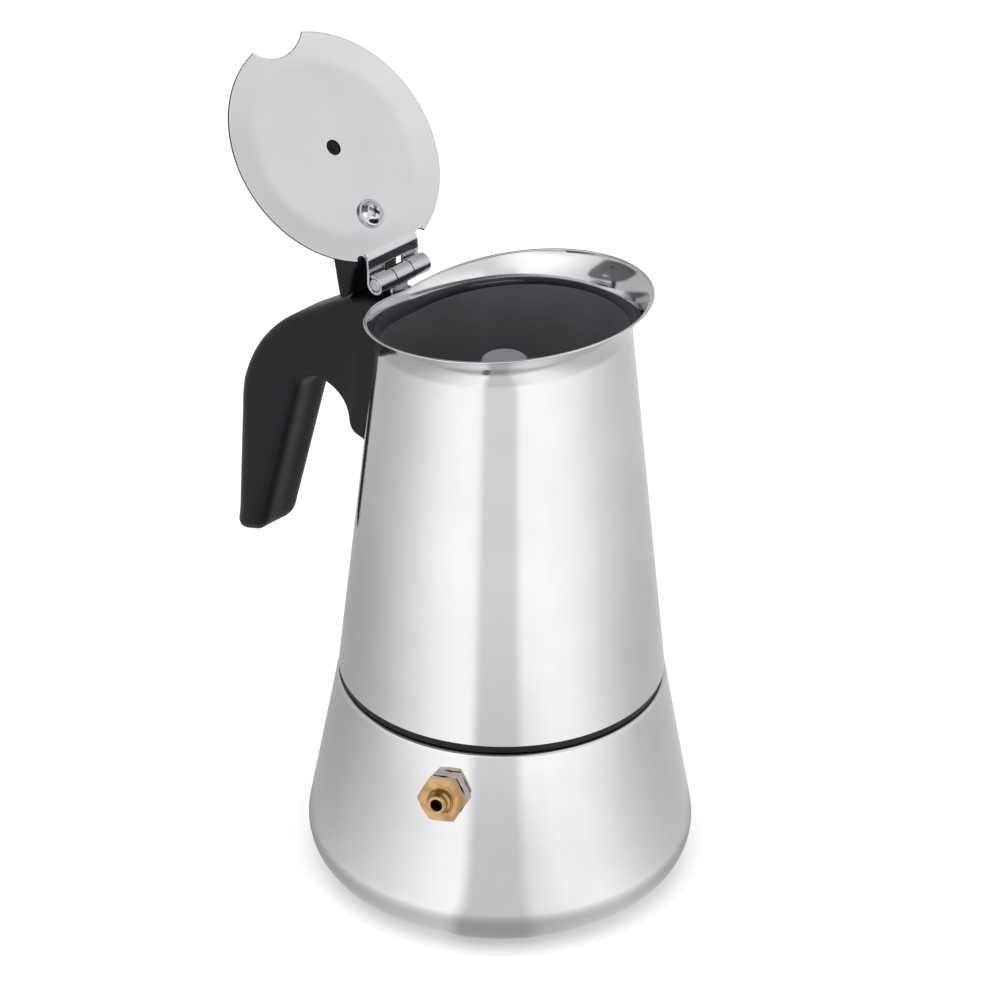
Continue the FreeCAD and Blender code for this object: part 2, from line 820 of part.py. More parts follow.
def make_collector_inside():
    # internal thread: a tube with a flange that closes the bottom of the shell
    bore = neck_radius + S.thread_clearance
    tube = bore + S.thread_depth + S.thread_ring_wall
    flange_level = collector_bottom + S.thread_ring_flange
    body = turned("thread_ring", [
        (bore, collector_bottom),
        (collector_bore(collector_bottom), collector_bottom),
        (collector_bore(flange_level), flange_level),
        (tube, flange_level),
        (tube, collector_bottom + S.thread_ring_height),
        (bore, collector_bottom + S.thread_ring_height),
    ])
    doc.recompute()
    start = S.shoulder_height + S.thread_start - S.thread_pitch * 2
    width = S.thread_width + S.thread_clearance * 2
    profile = thread_profile(body, "ring_thread", bore, S.thread_depth, width, start)
    add_thread(body, "PartDesign::SubtractiveHelix", profile, S.thread_ring_height + 9)
    keep(body, "thread_ring")

    keep(turned("collector_floor", [
        (S.column_radius, floor_bottom),
        (collector_bore(floor_bottom), floor_bottom),
        (collector_bore(floor_top), floor_top),
        (S.column_radius, floor_top),
    ]), "collector_floor")

    inner = S.column_radius - S.column_wall
    top = column_top
    keep(turned("column", [
        (inner, floor_bottom),
        (S.column_radius, floor_bottom),
        (S.column_radius, floor_top),
        (S.column_foot_radius, floor_top),
        (S.column_foot_radius, floor_top + S.column_wall),
        (S.column_radius, floor_top + S.column_foot_height),
        (S.column_radius, top),
        (inner, top),
    ]), "column")

    bore = S.column_radius + S.cap_clearance
    outside = bore + S.cap_wall
    lid_level = top + S.cap_rise
    cap = turned("cap_blank", [
        (bore, top - S.cap_overlap),
        (outside, top - S.cap_overlap),
        (outside, lid_level, S.cap_edge_radius),
        (0, lid_level),
        (0, lid_level - S.cap_wall),
        (bore, lid_level - S.cap_wall),
    ])
    outlet = rod("cap_outlet", S.cap_outlet_radius, CUT)
    place(outlet, (-CUT / 2, 0, top + S.cap_rise / 2), V(0, 1, 0), 90)
    keep(cut("cap", cap, outlet), "column_cap")


# ---------------------------------------------------------------- hinge
def make_hinge():
    # leaf: a strip down the wall, its top curled into the middle knuckle
    outside = S.knuckle_radius
    sheet_wall = S.hinge_sheet
    pin_x = -pin_setback
    low = rim_at_handle - S.leaf_length
    bend = rim_at_handle - S.leaf_bend_drop
    low_bend = rim_at_handle - S.leaf_low_bend_drop
    strip = plate("leaf_strip", [
        (pin_x - sheet_wall / 2, pin_height - outside + sheet_wall / 2),
        (pin_x + sheet_wall / 2, pin_height - outside + sheet_wall / 2),
        (pin_x + sheet_wall / 2, bend),
        (-collector_radius(low_bend), low_bend),
        (-collector_radius(low), low),
        (-collector_radius(low) - sheet_wall, low),
        (-collector_radius(low_bend) - sheet_wall, low_bend),
        (pin_x - sheet_wall / 2, bend),
    ], S.middle_knuckle_half * 2)
    knuckle = rod("middle_knuckle", outside, S.middle_knuckle_half * 2)
    place(knuckle, (pin_x, S.middle_knuckle_half, pin_height), V(1, 0, 0), 90)
    bore = rod("middle_knuckle_bore", pin_radius, CUT)
    place(bore, (pin_x, as_size(CUT / 2), pin_height), V(1, 0, 0), 90)
    keep(cut("leaf", joined("leaf_solid", strip, knuckle), bore), "hinge_bracket")

    half = S.hinge_half_width
    dome = S.pin_dome
    pin = turned("pin", [
        (0, -half), (pin_radius - dome, -half), (pin_radius, -half + dome),
        (pin_radius, half - dome), (pin_radius - dome, half), (0, half),
    ])
    place(pin, (pin_x, 0, pin_height), V(1, 0, 0), 90)
    keep(pin, "hinge_pin")


# ---------------------------------------------------------------- lid
def lid_frame(thing, along, up, axis=None, turn=0):
    """Stands a piece in the open lid's frame: centre of the disc, X to the spout notch."""
    c, s = cosine(S.lid_open_angle), sine(S.lid_open_angle)
    reach = lid_reach + along
    rise = as_size(up) - S.lid_drop
    where = (-pin_setback + c * reach - s * rise, 0, pin_height + s * reach + c * rise)
    place(thing, where, V(0, 1, 0), -S.lid_open_angle)
    if axis is not None:
        thing.Placement.Rotation = thing.Placement.Rotation * FreeCAD.Rotation(axis, turn)
    return thing


def make_lid_disc():
    half = S.lid_sheet / 2
    rise = S.lid_plateau_rise
    disc = turned("lid_dish", [
        (0, rise - half),
        (lid_plateau_radius, rise - half, S.lid_slope_radius),
        (lid_radius, -half),
        (lid_radius, half),
        (lid_plateau_radius, rise + half, S.lid_slope_radius - S.lid_sheet),
        (0, rise + half),
    ])
    lid_frame(disc, as_size(0), 0)

    # spout notch, and the edge trimmed back for the hinge tab and its reliefs
    notch = rod("lid_notch", S.lid_notch_radius, CUT)
    lid_frame(notch, lid_radius - S.lid_notch_depth + S.lid_notch_radius, -CUT / 2)
    tab_cut = block("tab_cut", CUT, S.hinge_half_width * 2, CUT)
    shift_block(tab_cut, -lid_bend_reach - CUT, -S.hinge_half_width, -CUT / 2)
    relief_half = S.hinge_half_width + S.lid_relief_width
    relief = block("relief_cut", CUT, relief_half * 2, CUT)
    shift_block(relief, -lid_relief_reach - CUT, -relief_half, -CUT / 2)
    bridge = block("tab_bridge", CUT, S.hinge_half_width * 2, CUT * 2)
    shift_block(bridge, -lid_relief_reach - CUT, -S.hinge_half_width, -CUT)
    reliefs = cut("relief", relief, bridge)

    # tab: from the bend up to the knuckle, tangent to it
    pin_along = -lid_reach
    pin_up = S.lid_drop
    rise_along = lid_reach - lid_bend_reach
    gap = root(rise_along * rise_along + pin_up * pin_up)
    tangent = root(gap * gap - S.knuckle_radius * S.knuckle_radius)
    to_pin = math.degrees(math.atan2(pin_up.value, rise_along.value))
    swing = math.degrees(math.asin(S.knuckle_radius.value / gap.value))
    lean = to_pin + swing
    strip = block("tab_strip", tangent, S.hinge_half_width * 2, S.lid_sheet)
    bend = (-lid_bend_reach, -S.hinge_half_width, as_size(0))
    hang_from(strip, bend, lean)
    window_width = (S.middle_knuckle_half + S.knuckle_gap) * 2
    window = block("tab_window", S.window_height + CUT, window_width, CUT)
    hang_from(window, (-lid_bend_reach, -window_width / 2, as_size(0)), lean,
              tangent - S.window_height, -CUT / 2)
    fold = rod("tab_fold", S.lid_sheet, S.hinge_half_width * 2)
    lid_frame(fold, -lid_bend_reach, 0, V(1, 0, 0), 90)
    bind(fold, "Placement.Base.y", S.hinge_half_width)
    knuckle = rod("lid_knuckle", S.knuckle_radius, S.hinge_half_width * 2)
    lid_frame(knuckle, pin_along, pin_up, V(1, 0, 0), 90)
    bind(knuckle, "Placement.Base.y", S.hinge_half_width)
    middle = rod("lid_knuckle_gap", S.knuckle_radius + KNUCKLE_SPACE, window_width)
    lid_frame(middle, pin_along, pin_up, V(1, 0, 0), 90)
    bind(middle, "Placement.Base.y", window_width / 2)
    bore = rod("lid_knuckle_bore", pin_radius + S.hinge_clearance, CUT * 2)
    lid_frame(bore, pin_along, pin_up, V(1, 0, 0), 90)
    bind(bore, "Placement.Base.y", as_size(CUT))

    peg_hole = rod("peg_hole", S.peg_radius + S.peg_clearance, CUT)
    lid_frame(peg_hole, as_size(0), -CUT / 2)
    screw_hole = rod("lid_screw_hole", S.screw_radius + S.peg_clearance, CUT)
    lid_frame(screw_hole, -lever_screw_reach, -CUT / 2)
    sheet_part = cut("lid_sheet", disc, notch, tab_cut, reliefs, peg_hole, screw_hole)
    tab = cut("lid_tab", joined("lid_tab_solid", fold, strip, knuckle), middle, window, bore)
    keep(joined("lid_joined", sheet_part, tab), "lid_disc")


def shift_block(thing, along, across, up):
    """Places a box by its lowest corner in the lid's frame."""
    lid_frame(thing, along, up)
    bind(thing, "Placement.Base.y", across)


def hang_from(thing, bend, lean, along=0, up=0):
    """Places a box by its lowest corner on the line from the bend to the knuckle."""
    lean_size = as_size(180 - lean)
    c, s = cosine(lean_size), sine(lean_size)
    along = as_size(along)
    up = as_size(up)
    lid_frame(thing, bend[0] + c * along + s * up, bend[2] + s * along - c * up,
              V(0, 1, 0), -lean_size.value)
    bind(thing, "Placement.Base.y", bend[1])


def make_lid_lever():
    top_of_plateau = S.lid_plateau_rise + S.lid_sheet / 2
    foot = S.lid_sheet / 2 + S.lever_foot_clearance
    edge = S.lever_edge_radius
    side = plate("lever_side", [
        (S.lever_nose_reach, top_of_plateau),
        (S.lever_nose_reach, top_of_plateau + S.lever_nose_thickness, edge),
        (-S.lever_neck_reach, top_of_plateau + S.lever_neck_thickness, S.lever_neck_radius),
        (-lever_mid_reach, S.lever_mid_height, S.lever_back_radius),
        (-lever_tip_reach, S.lever_tip_height, S.lever_tip_radius),
        (-lever_tip_reach - S.lever_tip_lean, S.lever_tip_height - S.lever_tip_thickness, edge),
        (-lid_bend_reach - S.lever_bend_clearance, S.lever_tip_height / 2, S.lever_hollow_radius),
        (-lid_relief_reach + S.lever_bend_clearance, foot),
        (-lid_plateau_radius, top_of_plateau),
    ], S.lever_tip_half_width * 2)
    lid_frame(side, as_size(0), 0)
    plan = plate("lever_plan", [
        (S.lever_nose_reach, -S.lever_nose_half_width, S.lever_nose_radius),
        (S.lever_nose_reach, S.lever_nose_half_width, S.lever_nose_radius),
        (-lever_screw_reach, S.lever_tip_half_width - S.lever_waist, S.lever_plan_radius),
        (-lever_tip_reach - S.lever_tip_thickness, S.lever_tip_half_width),
        (-lever_tip_reach - S.lever_tip_thickness, -S.lever_tip_half_width),
        (-lever_screw_reach, -S.lever_tip_half_width + S.lever_waist, S.lever_plan_radius),
    ], CUT * 3, "XY_Plane")
    lid_frame(plan, as_size(0), 0)
    peg = rod("lever_peg", S.peg_radius, S.lid_sheet + 1)
    lid_frame(peg, as_size(0), S.lid_plateau_rise - S.lid_sheet / 2)
    bore = rod("lever_bore", S.screw_radius, S.screw_length + CUT)
    lid_frame(bore, -lever_screw_reach, top_of_plateau - CUT)
    solid = joined("lever_solid", shared("lever_shape", side, plan), peg)
    keep(cut("lever", solid, bore), "lid_lever")

    underside = S.lid_plateau_rise - S.lid_sheet / 2
    head = turned("lid_screw_blank", [
        (0, -S.screw_head_height),
        (S.screw_head_radius - S.screw_dome_width, -S.screw_head_height, S.screw_dome_radius),
        (S.screw_head_radius, -S.screw_rim_height, S.screw_rim_radius),
        (S.screw_head_radius, 0),
        (S.screw_radius, 0),
        (S.screw_radius, S.screw_length),
        (0, S.screw_length),
    ])
    lid_frame(head, -lever_screw_reach, underside)
    slots = []
    for name, turn in (("slot_a", 0), ("slot_b", 90)):
        arm = block(name, S.screw_head_radius * SCREW_CROSS_SHARE, S.screw_slot_width,
                    SCREW_CROSS_DEPTH)
        reach = S.screw_head_radius.value * SCREW_CROSS_SHARE / 2
        local = FreeCAD.Placement(V(-reach, -S.screw_slot_width.value / 2, 0), FreeCAD.Rotation())
        spun = FreeCAD.Placement(V(), FreeCAD.Rotation(V(0, 0, 1), turn + SCREW_CROSS_TURN))
        lid_frame(arm, -lever_screw_reach, underside - S.screw_head_height - 0.1)
        base = arm.Placement
        arm.setExpression("Placement.Base.x", None)
        arm.setExpression("Placement.Base.y", None)
        arm.setExpression("Placement.Base.z", None)
        arm.Placement = base * spun * local
        slots.append(arm)
    keep(cut("lid_screw", head, *slots), "lid_screw")


# ---------------------------------------------------------------- handle
def make_handle():
    top = rim_at_handle - S.handle_top_drop
    inside = -(handle_rim_radius - S.handle_lap)
    foot = rim_at_handle - S.foot_drop
    grip_end = collector_bottom + S.grip_end_rise
    arch = rim_at_handle - S.arch_drop
    body = plate("handle_blank", [
        (inside, top + S.handle_top_fall),
        (-pin_setback - S.handle_top_reach, top, S.handle_top_radius),
        (-pin_setback - S.handle_shoulder_reach, rim_at_handle - S.handle_shoulder_drop,
         S.handle_shoulder_radius),
        (-pin_setback - S.handle_back_reach, grip_end, S.grip_end_radius),
        (-pin_setback - S.grip_front_reach, grip_end + S.grip_front_rise, S.grip_end_radius),
        (-pin_setback - S.grip_inner_reach, arch, S.arch_radius),
        (-pin_setback - S.arch_reach, arch, S.arch_radius),
        (-pin_setback - S.foot_reach, foot, S.foot_radius),
        (inside, foot - S.foot_fall),
    ], S.handle_width)
    doc.recompute()
    edges = side_edges(body, S.handle_width.value / 2)
    blank = body.Tip
    rounding = body.newObject("PartDesign::Fillet", "handle_rounding")
    rounding.Base = (blank, edges)
    bind(rounding, "Radius", S.handle_edge_radius)

    # the space that the collector takes up, a little larger than its wall
    gap = S.handle_wall_gap
    flare_low = collector_bottom + handle_neck_height - 1
    space = turned("handle_clearance", [
        (0, collector_bottom),
        (S.collector_bottom_radius + gap, collector_bottom),
        (collector_radius(flare_low) + gap, flare_low),
        (handle_rim_radius + S.handle_rim_gap, flare_low + FLARE_RUN),
        (handle_rim_radius + S.handle_rim_gap, rim_at_handle + CUT),
        (0, rim_at_handle + CUT),
    ])
    # slots for the hinge's leaf and the tongue, and the screw's hole
    side_gap = S.middle_knuckle_half + S.tongue_clearance
    leaf_slot = block("leaf_slot", CUT, side_gap * 2, S.leaf_length + CUT)
    place(leaf_slot, (-pin_setback - S.hinge_sheet, -side_gap,
                      rim_at_handle - S.leaf_length - S.tongue_clearance))
    clear = S.tongue_clearance
    tongue_slot = block("tongue_slot", CUT * 1.5, S.tongue_width + clear * 2,
                        S.tongue_thickness + clear * 2)
    place(tongue_slot, (-pin_setback - S.tongue_reach - clear, -S.tongue_width / 2 - clear,
                        tongue_height - clear))
    leg_slot = block("leg_slot", CUT * 1.5, S.tongue_width + clear * 2, S.tongue_leg + clear * 2)
    leg_x = -collector_radius(tongue_height - S.tongue_leg) - S.tongue_thickness - clear
    place(leg_slot, (leg_x, -S.tongue_width / 2 - clear,
                     tongue_height - S.tongue_leg - clear))
    shank = rod("handle_screw_hole", S.handle_screw_radius, CUT * 2)
    place(shank, (-screw_reach, 0, foot - S.foot_fall - CUT / 2))
    recess = rod("handle_screw_recess", S.handle_screw_head_radius + S.screw_clearance, CUT)
    place(recess, (-screw_reach, 0, foot - S.foot_fall + S.handle_screw_recess - CUT))
    keep(cut("handle", body, space, leaf_slot, tongue_slot, leg_slot, shank, recess), "handle")


def side_edges(body, half):
    """Names of the edges that lie flat on the two sides of a plate."""
    names = []
    for i, edge in enumerate(body.Shape.Edges, start=1):
        low, high = edge.BoundBox.YMin, edge.BoundBox.YMax
        if high - low < SMALL and abs(abs(low) - half) < SMALL:
            names.append(f"Edge{i}")
    return names


def make_handle_fixing():
    # tongue: an angle welded to the wall, its shelf inside the handle
    level = tongue_height
    low = level - S.tongue_leg
    thick = S.tongue_thickness
    body = plate("tongue_blank", [
        (-pin_setback - S.tongue_reach, level),
        (-pin_setback - S.tongue_reach, level + thick),
        (-collector_radius(level + thick), level + thick),
        (-collector_radius(low), low),
        (-collector_radius(low) - thick, low),
        (-collector_radius(level) - thick, level),
    ], S.tongue_width)
    trim = doc.addObject("Part::Cone", "tongue_trim")
    bind(trim, "Radius1", collector_radius(low - CUT))
    bind(trim, "Radius2", collector_radius(level + CUT))
    bind(trim, "Height", level - low + CUT * 2)
    place(trim, (0, 0, low - CUT))
    hole = rod("tongue_hole", S.handle_screw_radius, CUT)
    place(hole, (-screw_reach, 0, level - CUT / 2))
    keep(cut("tongue", body, trim, hole), "handle_bracket")

    seat = rim_at_handle - S.foot_drop - S.foot_fall + S.handle_screw_recess
    head = S.handle_screw_head_height
    end = level + thick + S.handle_screw_grip - seat
    screw = turned("handle_screw_blank", [
        (0, -head),
        (S.handle_screw_head_radius - SCREW_BEVEL, -head, SCREW_EDGE),
        (S.handle_screw_head_radius, -head / 2, SCREW_EDGE),
        (S.handle_screw_head_radius, 0),
        (S.handle_screw_radius, 0),
        (S.handle_screw_radius, end),
        (0, end),
    ])
    place(screw, (-screw_reach, 0, seat))
    slot_length = S.handle_screw_head_radius * SCREW_SLOT_SHARE
    slot = block("handle_screw_slot", slot_length, S.screw_slot_width, S.screw_slot_depth + 1)
    place(slot, (-screw_reach - slot_length / 2, -S.screw_slot_width / 2, seat - head - 1))
    keep(cut("handle_screw", screw, slot), "handle_screw")


# ---------------------------------------------------------------- the whole pot
make_boiler_shell()
make_seam_ring()
make_valve()
make_funnel()
make_gasket()
make_collector_shell()
make_collector_inside()
make_hinge()
make_lid_disc()
make_lid_lever()
make_handle()
make_handle_fixing()
doc.recompute()

for thing in doc.Objects:
    if "Invalid" in thing.State or "Error" in thing.State:
        raise RuntimeError(f"{thing.Label} did not build: {thing.State}")
for label, thing in PARTS.items():
    if thing.Shape.isNull() or not thing.Shape.isValid():
        raise RuntimeError(f"{label} has no sound shape")

os.makedirs("parts", exist_ok=True)
for label, thing in PARTS.items():
    thing.Shape.exportStep(f"parts/{label}.step")
    box = thing.Shape.BoundBox
    print(f"{label}: {len(thing.Shape.Solids)} solid, {thing.Shape.Volume / 1000:.3f} cm3, "
          f"z {box.ZMin:.2f} to {box.ZMax:.2f}")
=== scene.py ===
import math

import bmesh
import bpy
import numpy as np
from mathutils import Matrix, Vector


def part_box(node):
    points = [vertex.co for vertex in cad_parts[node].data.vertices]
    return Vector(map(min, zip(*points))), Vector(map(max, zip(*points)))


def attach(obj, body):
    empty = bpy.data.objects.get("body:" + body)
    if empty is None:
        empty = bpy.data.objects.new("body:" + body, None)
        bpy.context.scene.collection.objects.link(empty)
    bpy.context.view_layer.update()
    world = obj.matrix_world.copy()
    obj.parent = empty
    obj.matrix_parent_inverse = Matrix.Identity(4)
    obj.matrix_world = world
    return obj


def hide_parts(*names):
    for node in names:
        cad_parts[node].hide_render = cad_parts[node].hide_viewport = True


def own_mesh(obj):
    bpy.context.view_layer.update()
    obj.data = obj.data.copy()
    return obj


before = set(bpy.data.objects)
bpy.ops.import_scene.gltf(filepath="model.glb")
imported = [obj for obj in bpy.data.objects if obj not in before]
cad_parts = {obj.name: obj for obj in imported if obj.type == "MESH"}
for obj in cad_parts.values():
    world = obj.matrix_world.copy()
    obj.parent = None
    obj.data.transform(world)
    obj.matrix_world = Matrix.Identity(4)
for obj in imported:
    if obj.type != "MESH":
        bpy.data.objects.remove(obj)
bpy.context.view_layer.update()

# Looks of a stove-top moka pot in polished stainless steel, with a black moulded
# handle and a brass safety valve. Lengths in this file are millimetres, in the
# frame of the CAD part: +X to the spout, -X to the handle, +Z up.
MM = 0.001


def span(node):
    """Lowest and highest corner of a CAD node, in millimetres."""
    low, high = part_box(node)
    return low / MM, high / MM


# ---------------------------------------------------------------- shader helpers
def linear(code):
    """An sRGB hex colour as the linear RGBA that a shader takes."""
    parts = [int(code[i:i + 2], 16) / 255 for i in (1, 3, 5)]
    return [c / 12.92 if c <= 0.04045 else ((c + 0.055) / 1.055) ** 2.4 for c in parts] + [1.0]


def add(tree, kind, settings=None, links=None):
    """A node with its settings (a property or an input's value) and its links."""
    node = tree.nodes.new(kind)
    for name, value in (settings or {}).items():
        if isinstance(name, str) and hasattr(node, name):
            setattr(node, name, value)
        else:
            node.inputs[name].default_value = value
    for name, source in (links or {}).items():
        tree.links.new(source, node.inputs[name])
    return node


def start_material(name, settings):
    """A material with its shader's constants set, and the place on the piece in metres."""
    material = bpy.data.materials.new(name)
    material.use_nodes = True
    tree = material.node_tree
    shader = tree.nodes["Principled BSDF"]
    for socket, value in settings.items():
        shader.inputs[socket].default_value = value
    where = add(tree, "ShaderNodeTexCoord").outputs["Object"]
    return material, tree, shader, where


def pattern(tree, where, cell, detail=3.0, rough=0.5, stretch=(1, 1, 1), turn=(0, 0, 0)):
    """Cloudy pattern with cells of about `cell` millimetres, drawn out into a grain along
    each axis where stretch is under 1."""
    placed = add(tree, "ShaderNodeMapping", {"Scale": stretch, "Rotation": turn},
                 {"Vector": where})
    return add(tree, "ShaderNodeTexNoise",
               {"Scale": 1 / (cell * MM), "Detail": detail, "Roughness": rough},
               {"Vector": placed.outputs["Vector"]}).outputs["Fac"]


def weighed(tree, main, rest):
    """Three fifths of one pattern and two fifths of another."""
    less = add(tree, "ShaderNodeMath", {"operation": "MULTIPLY", 1: 0.4}, {0: rest})
    return add(tree, "ShaderNodeMath", {"operation": "MULTIPLY_ADD", 1: 0.6},
               {0: main, 2: less.outputs[0]}).outputs[0]


def dress(tree, shader, tint, colours, sheen, gloss, relief, depth):
    """Blends two colours by one pattern, brings the roughness between two values by
    another, raises a third by `depth` millimetres and hands that relief back."""
    usual = {"From Min": 0.3, "From Max": 0.7}
    share = add(tree, "ShaderNodeMapRange", usual, {"Value": tint})
    mix = add(tree, "ShaderNodeMix",
              {"data_type": "RGBA", 6: linear(colours[0]), 7: linear(colours[1])},
              {0: share.outputs["Result"]})
    rough = add(tree, "ShaderNodeMapRange", {**usual, "To Min": gloss[0], "To Max": gloss[1]},
                {"Value": sheen})
    raised = add(tree, "ShaderNodeBump", {"Strength": 1.0, "Distance": depth * MM},
                 {"Height": relief})
    tree.links.new(mix.outputs[2], shader.inputs["Base Color"])
    tree.links.new(rough.outputs["Result"], shader.inputs["Roughness"])
    tree.links.new(raised.outputs["Normal"], shader.inputs["Normal"])
    return raised


# ---------------------------------------------------------------- materials
WHEEL_RINGS = (0.03, 0.03, 1)


def polished_stainless(name="polished_stainless_18_10", colours=("#D1D1D3", "#CCCCCE"),
                       gloss=(0.07, 0.12), wave=0.0012, swell=0.004):
    """18/10 stainless, drawn and wheel-polished: mirror-like, with faint rings left by
    the wheel and a slow waviness that softens what it reflects."""
    material, tree, shader, where = start_material(name, {"Metallic": 1.0})
    cloud = pattern(tree, where, 14)
    rings = pattern(tree, where, 0.9, 2.0, stretch=WHEEL_RINGS)
    fine = dress(tree, shader, cloud, colours, weighed(tree, rings, cloud), gloss, rings, wave)
    slow = add(tree, "ShaderNodeBump", {"Strength": 1.0, "Distance": swell * MM},
               {"Height": pattern(tree, where, 22, 1.0)})
    tree.links.new(slow.outputs["Normal"], fine.inputs["Normal"])
    return material


def brushed_stainless(name, colours, gloss, grain):
    """Stainless with a fine straight grain from an abrasive belt: it spreads highlights
    into a soft even grey."""
    material, tree, shader, where = start_material(name, {"Metallic": 1.0})
    lines = pattern(tree, where, 0.6, 3.0, 0.6, grain)
    cloud = pattern(tree, where, 9)
    dress(tree, shader, weighed(tree, lines, cloud), colours, cloud, gloss, lines, 0.004)
    return material


def matt_steel_painted_shade(name, colours):
    """Stainless left as the deep-drawing press made it: rougher than the polished outside,
    with faint draw rings, and its even grey darkened as painted shade inside the pot."""
    material, tree, shader, where = start_material(
        name, {"Metallic": 0.35, "Specular IOR Level": 0.3})
    rings = pattern(tree, where, 1.2, 2.0, stretch=WHEEL_RINGS)
    dress(tree, shader, pattern(tree, where, 16), colours, rings, (0.42, 0.52), rings, 0.003)
    return material


def moulded_phenolic():
    """Black phenolic moulding, tumbled: a satin skin with a fine pebble from the mould
    and slightly duller clouds."""
    material, tree, shader, where = start_material(
        "moulded_black_phenolic", {"IOR": 1.5, "Specular IOR Level": 0.18})
    cloud = pattern(tree, where, 12)
    dress(tree, shader, cloud, ("#0A0B0F", "#101217"), cloud, (0.34, 0.44),
          pattern(tree, where, 0.7, 2.0), 0.012)
    return material


def moulded_silicone(name, colours, gloss):
    """Silicone rubber, compression moulded: smooth and faintly waxy."""
    material, tree, shader, where = start_material(
        name, {"IOR": 1.41, "Specular IOR Level": 0.3})
    cloud = pattern(tree, where, 5)
    dress(tree, shader, cloud, colours, cloud, gloss, pattern(tree, where, 0.8), 0.006)
    return material


def turned_brass(name, colours):
    """Free-cutting brass, turned and left bare: golden, with a fine tool finish and
    browner patches where it has been handled."""
    material, tree, shader, where = start_material(name, {"Metallic": 1.0})
    patch = pattern(tree, where, 3.5)
    dress(tree, shader, patch, colours, patch, (0.18, 0.34),
          pattern(tree, where, 0.45, 2.0), 0.010)
    return material


# ---------------------------------------------------------------- outlines
def rounded(corners, closed=True, steps=6, hold=0.25):
    """Corners (x, y) or (x, y, radius) as points, the rounded ones as arcs. A point is
    held just beyond each arc, so that long faces next to it shade flat."""
    points = []
    count = len(corners)
    for i, corner in enumerate(corners):
        here = Vector(corner[:2])
        radius = corner[2] if len(corner) > 2 else 0
        if not radius or (not closed and i in (0, count - 1)):
            points.append(here)
            continue
        back = (Vector(corners[i - 1][:2]) - here).normalized()
        ahead = (Vector(corners[(i + 1) % count][:2]) - here).normalized()
        half = back.angle(ahead) / 2
        reach = radius / math.tan(half)
        middle = here + (back + ahead).normalized() * (radius / math.sin(half))
        first = here + back * reach - middle
        last = here + ahead * reach - middle
        sweep = math.atan2(first.cross(last), first.dot(last))
        points.append(middle + first + back * hold)
        for k in range(steps + 1):
            turn = sweep * k / steps
            points.append(middle + Matrix.Rotation(turn, 2) @ first)
        points.append(middle + last + ahead * hold)
    return [tuple(point) for point in points]


# ---------------------------------------------------------------- mesh helpers
HARD_EDGE = math.radians(36)


def tidy(mesh, merge=0.0004):
    """Merges doubles, closes poles, turns the faces outward and marks hard edges."""
    work = bmesh.new()
    work.from_mesh(mesh)
    bmesh.ops.remove_doubles(work, verts=work.verts, dist=merge * MM)
    bmesh.ops.dissolve_degenerate(work, edges=work.edges, dist=merge * MM)
    loose = [v for v in work.verts if not v.link_faces]
    bmesh.ops.delete(work, geom=loose, context="VERTS")
    bmesh.ops.recalc_face_normals(work, faces=work.faces)
    for face in work.faces:
        face.smooth = True
    for edge in work.edges:
        edge.smooth = len(edge.link_faces) == 2 and edge.calc_face_angle(0) < HARD_EDGE
    work.to_mesh(mesh)
    work.free()
    return mesh


def stand(name, mesh, material):
    """Puts a finished mesh into the scene as one piece."""
    mesh.name = name
    if material is not None:
        mesh.materials.clear()
        mesh.materials.append(material)
    piece = bpy.data.objects.new(name, mesh)
    bpy.context.scene.collection.objects.link(piece)
    return piece


def from_points(points, faces):
    """A mesh from points in millimetres."""
    mesh = bpy.data.meshes.new("work")
    mesh.from_pydata([tuple(Vector(p) * MM) for p in points], [], faces)
    return tidy(mesh)


def skin(rings, round_again=True, first_cap=True, last_cap=True):
    """Mesh over rings of equal point count. round_again joins the last ring to the first."""
    rings = np.asarray(rings, float)
    ring_count, width = rings.shape[:2]
    faces = []
    for i in range(ring_count if round_again else ring_count - 1):
        here = i * width
        ahead = (i + 1) % ring_count * width
        for k in range(width):
            side = (k + 1) % width
            faces.append((here + k, here + side, ahead + side, ahead + k))
    if not round_again and first_cap:
        faces.append(tuple(range(width)))
    if not round_again and last_cap:
        faces.append(tuple((ring_count - 1) * width + k for k in range(width)))
    return from_points(rings.reshape(-1, 3), faces)


def merged(meshes):
    """One mesh from several that belong to one piece."""
    work = bmesh.new()
    for mesh in meshes:
        work.from_mesh(mesh)
    result = bpy.data.meshes.new("work")
    work.to_mesh(result)
    work.free()
    return result


# ---------------------------------------------------------------- node-made shapes
def open_tree(name, inputs):
    """A geometry tree with named inputs, and its input node."""
    tree = bpy.data.node_groups.new(name, "GeometryNodeTree")
    tree.interface.new_socket("Geometry", in_out="INPUT", socket_type="NodeSocketGeometry")
    for label, kind in inputs:
        tree.interface.new_socket(label, in_out="INPUT", socket_type=kind)
    tree.interface.new_socket("Geometry", in_out="OUTPUT", socket_type="NodeSocketGeometry")
    return tree, add(tree, "NodeGroupInput").outputs


def close_tree(tree, shape, material):
    """Ends a tree in Realize Instances and Set Material."""
    real = add(tree, "GeometryNodeRealizeInstances", None, {"Geometry": shape})
    painted = add(tree, "GeometryNodeSetMaterial", None,
                  {"Geometry": real.outputs[0], "Material": material})
    add(tree, "NodeGroupOutput", None, {"Geometry": painted.outputs[0]})
    return tree


def lathe_tree():
    """Carries an outline round the Z axis."""
    tree, given = open_tree("turned_on_the_lathe", [
        ("Steps", "NodeSocketInt"), ("Spindle Radius", "NodeSocketFloat"),
        ("Material", "NodeSocketMaterial")])
    path = add(tree, "GeometryNodeCurvePrimitiveCircle", None,
               {"Resolution": given["Steps"], "Radius": given["Spindle Radius"]})
    swept = add(tree, "GeometryNodeCurveToMesh", None,
                {"Curve": path.outputs["Curve"], "Profile Curve": given["Geometry"]})
    return close_tree(tree, swept.outputs[0], given["Material"])


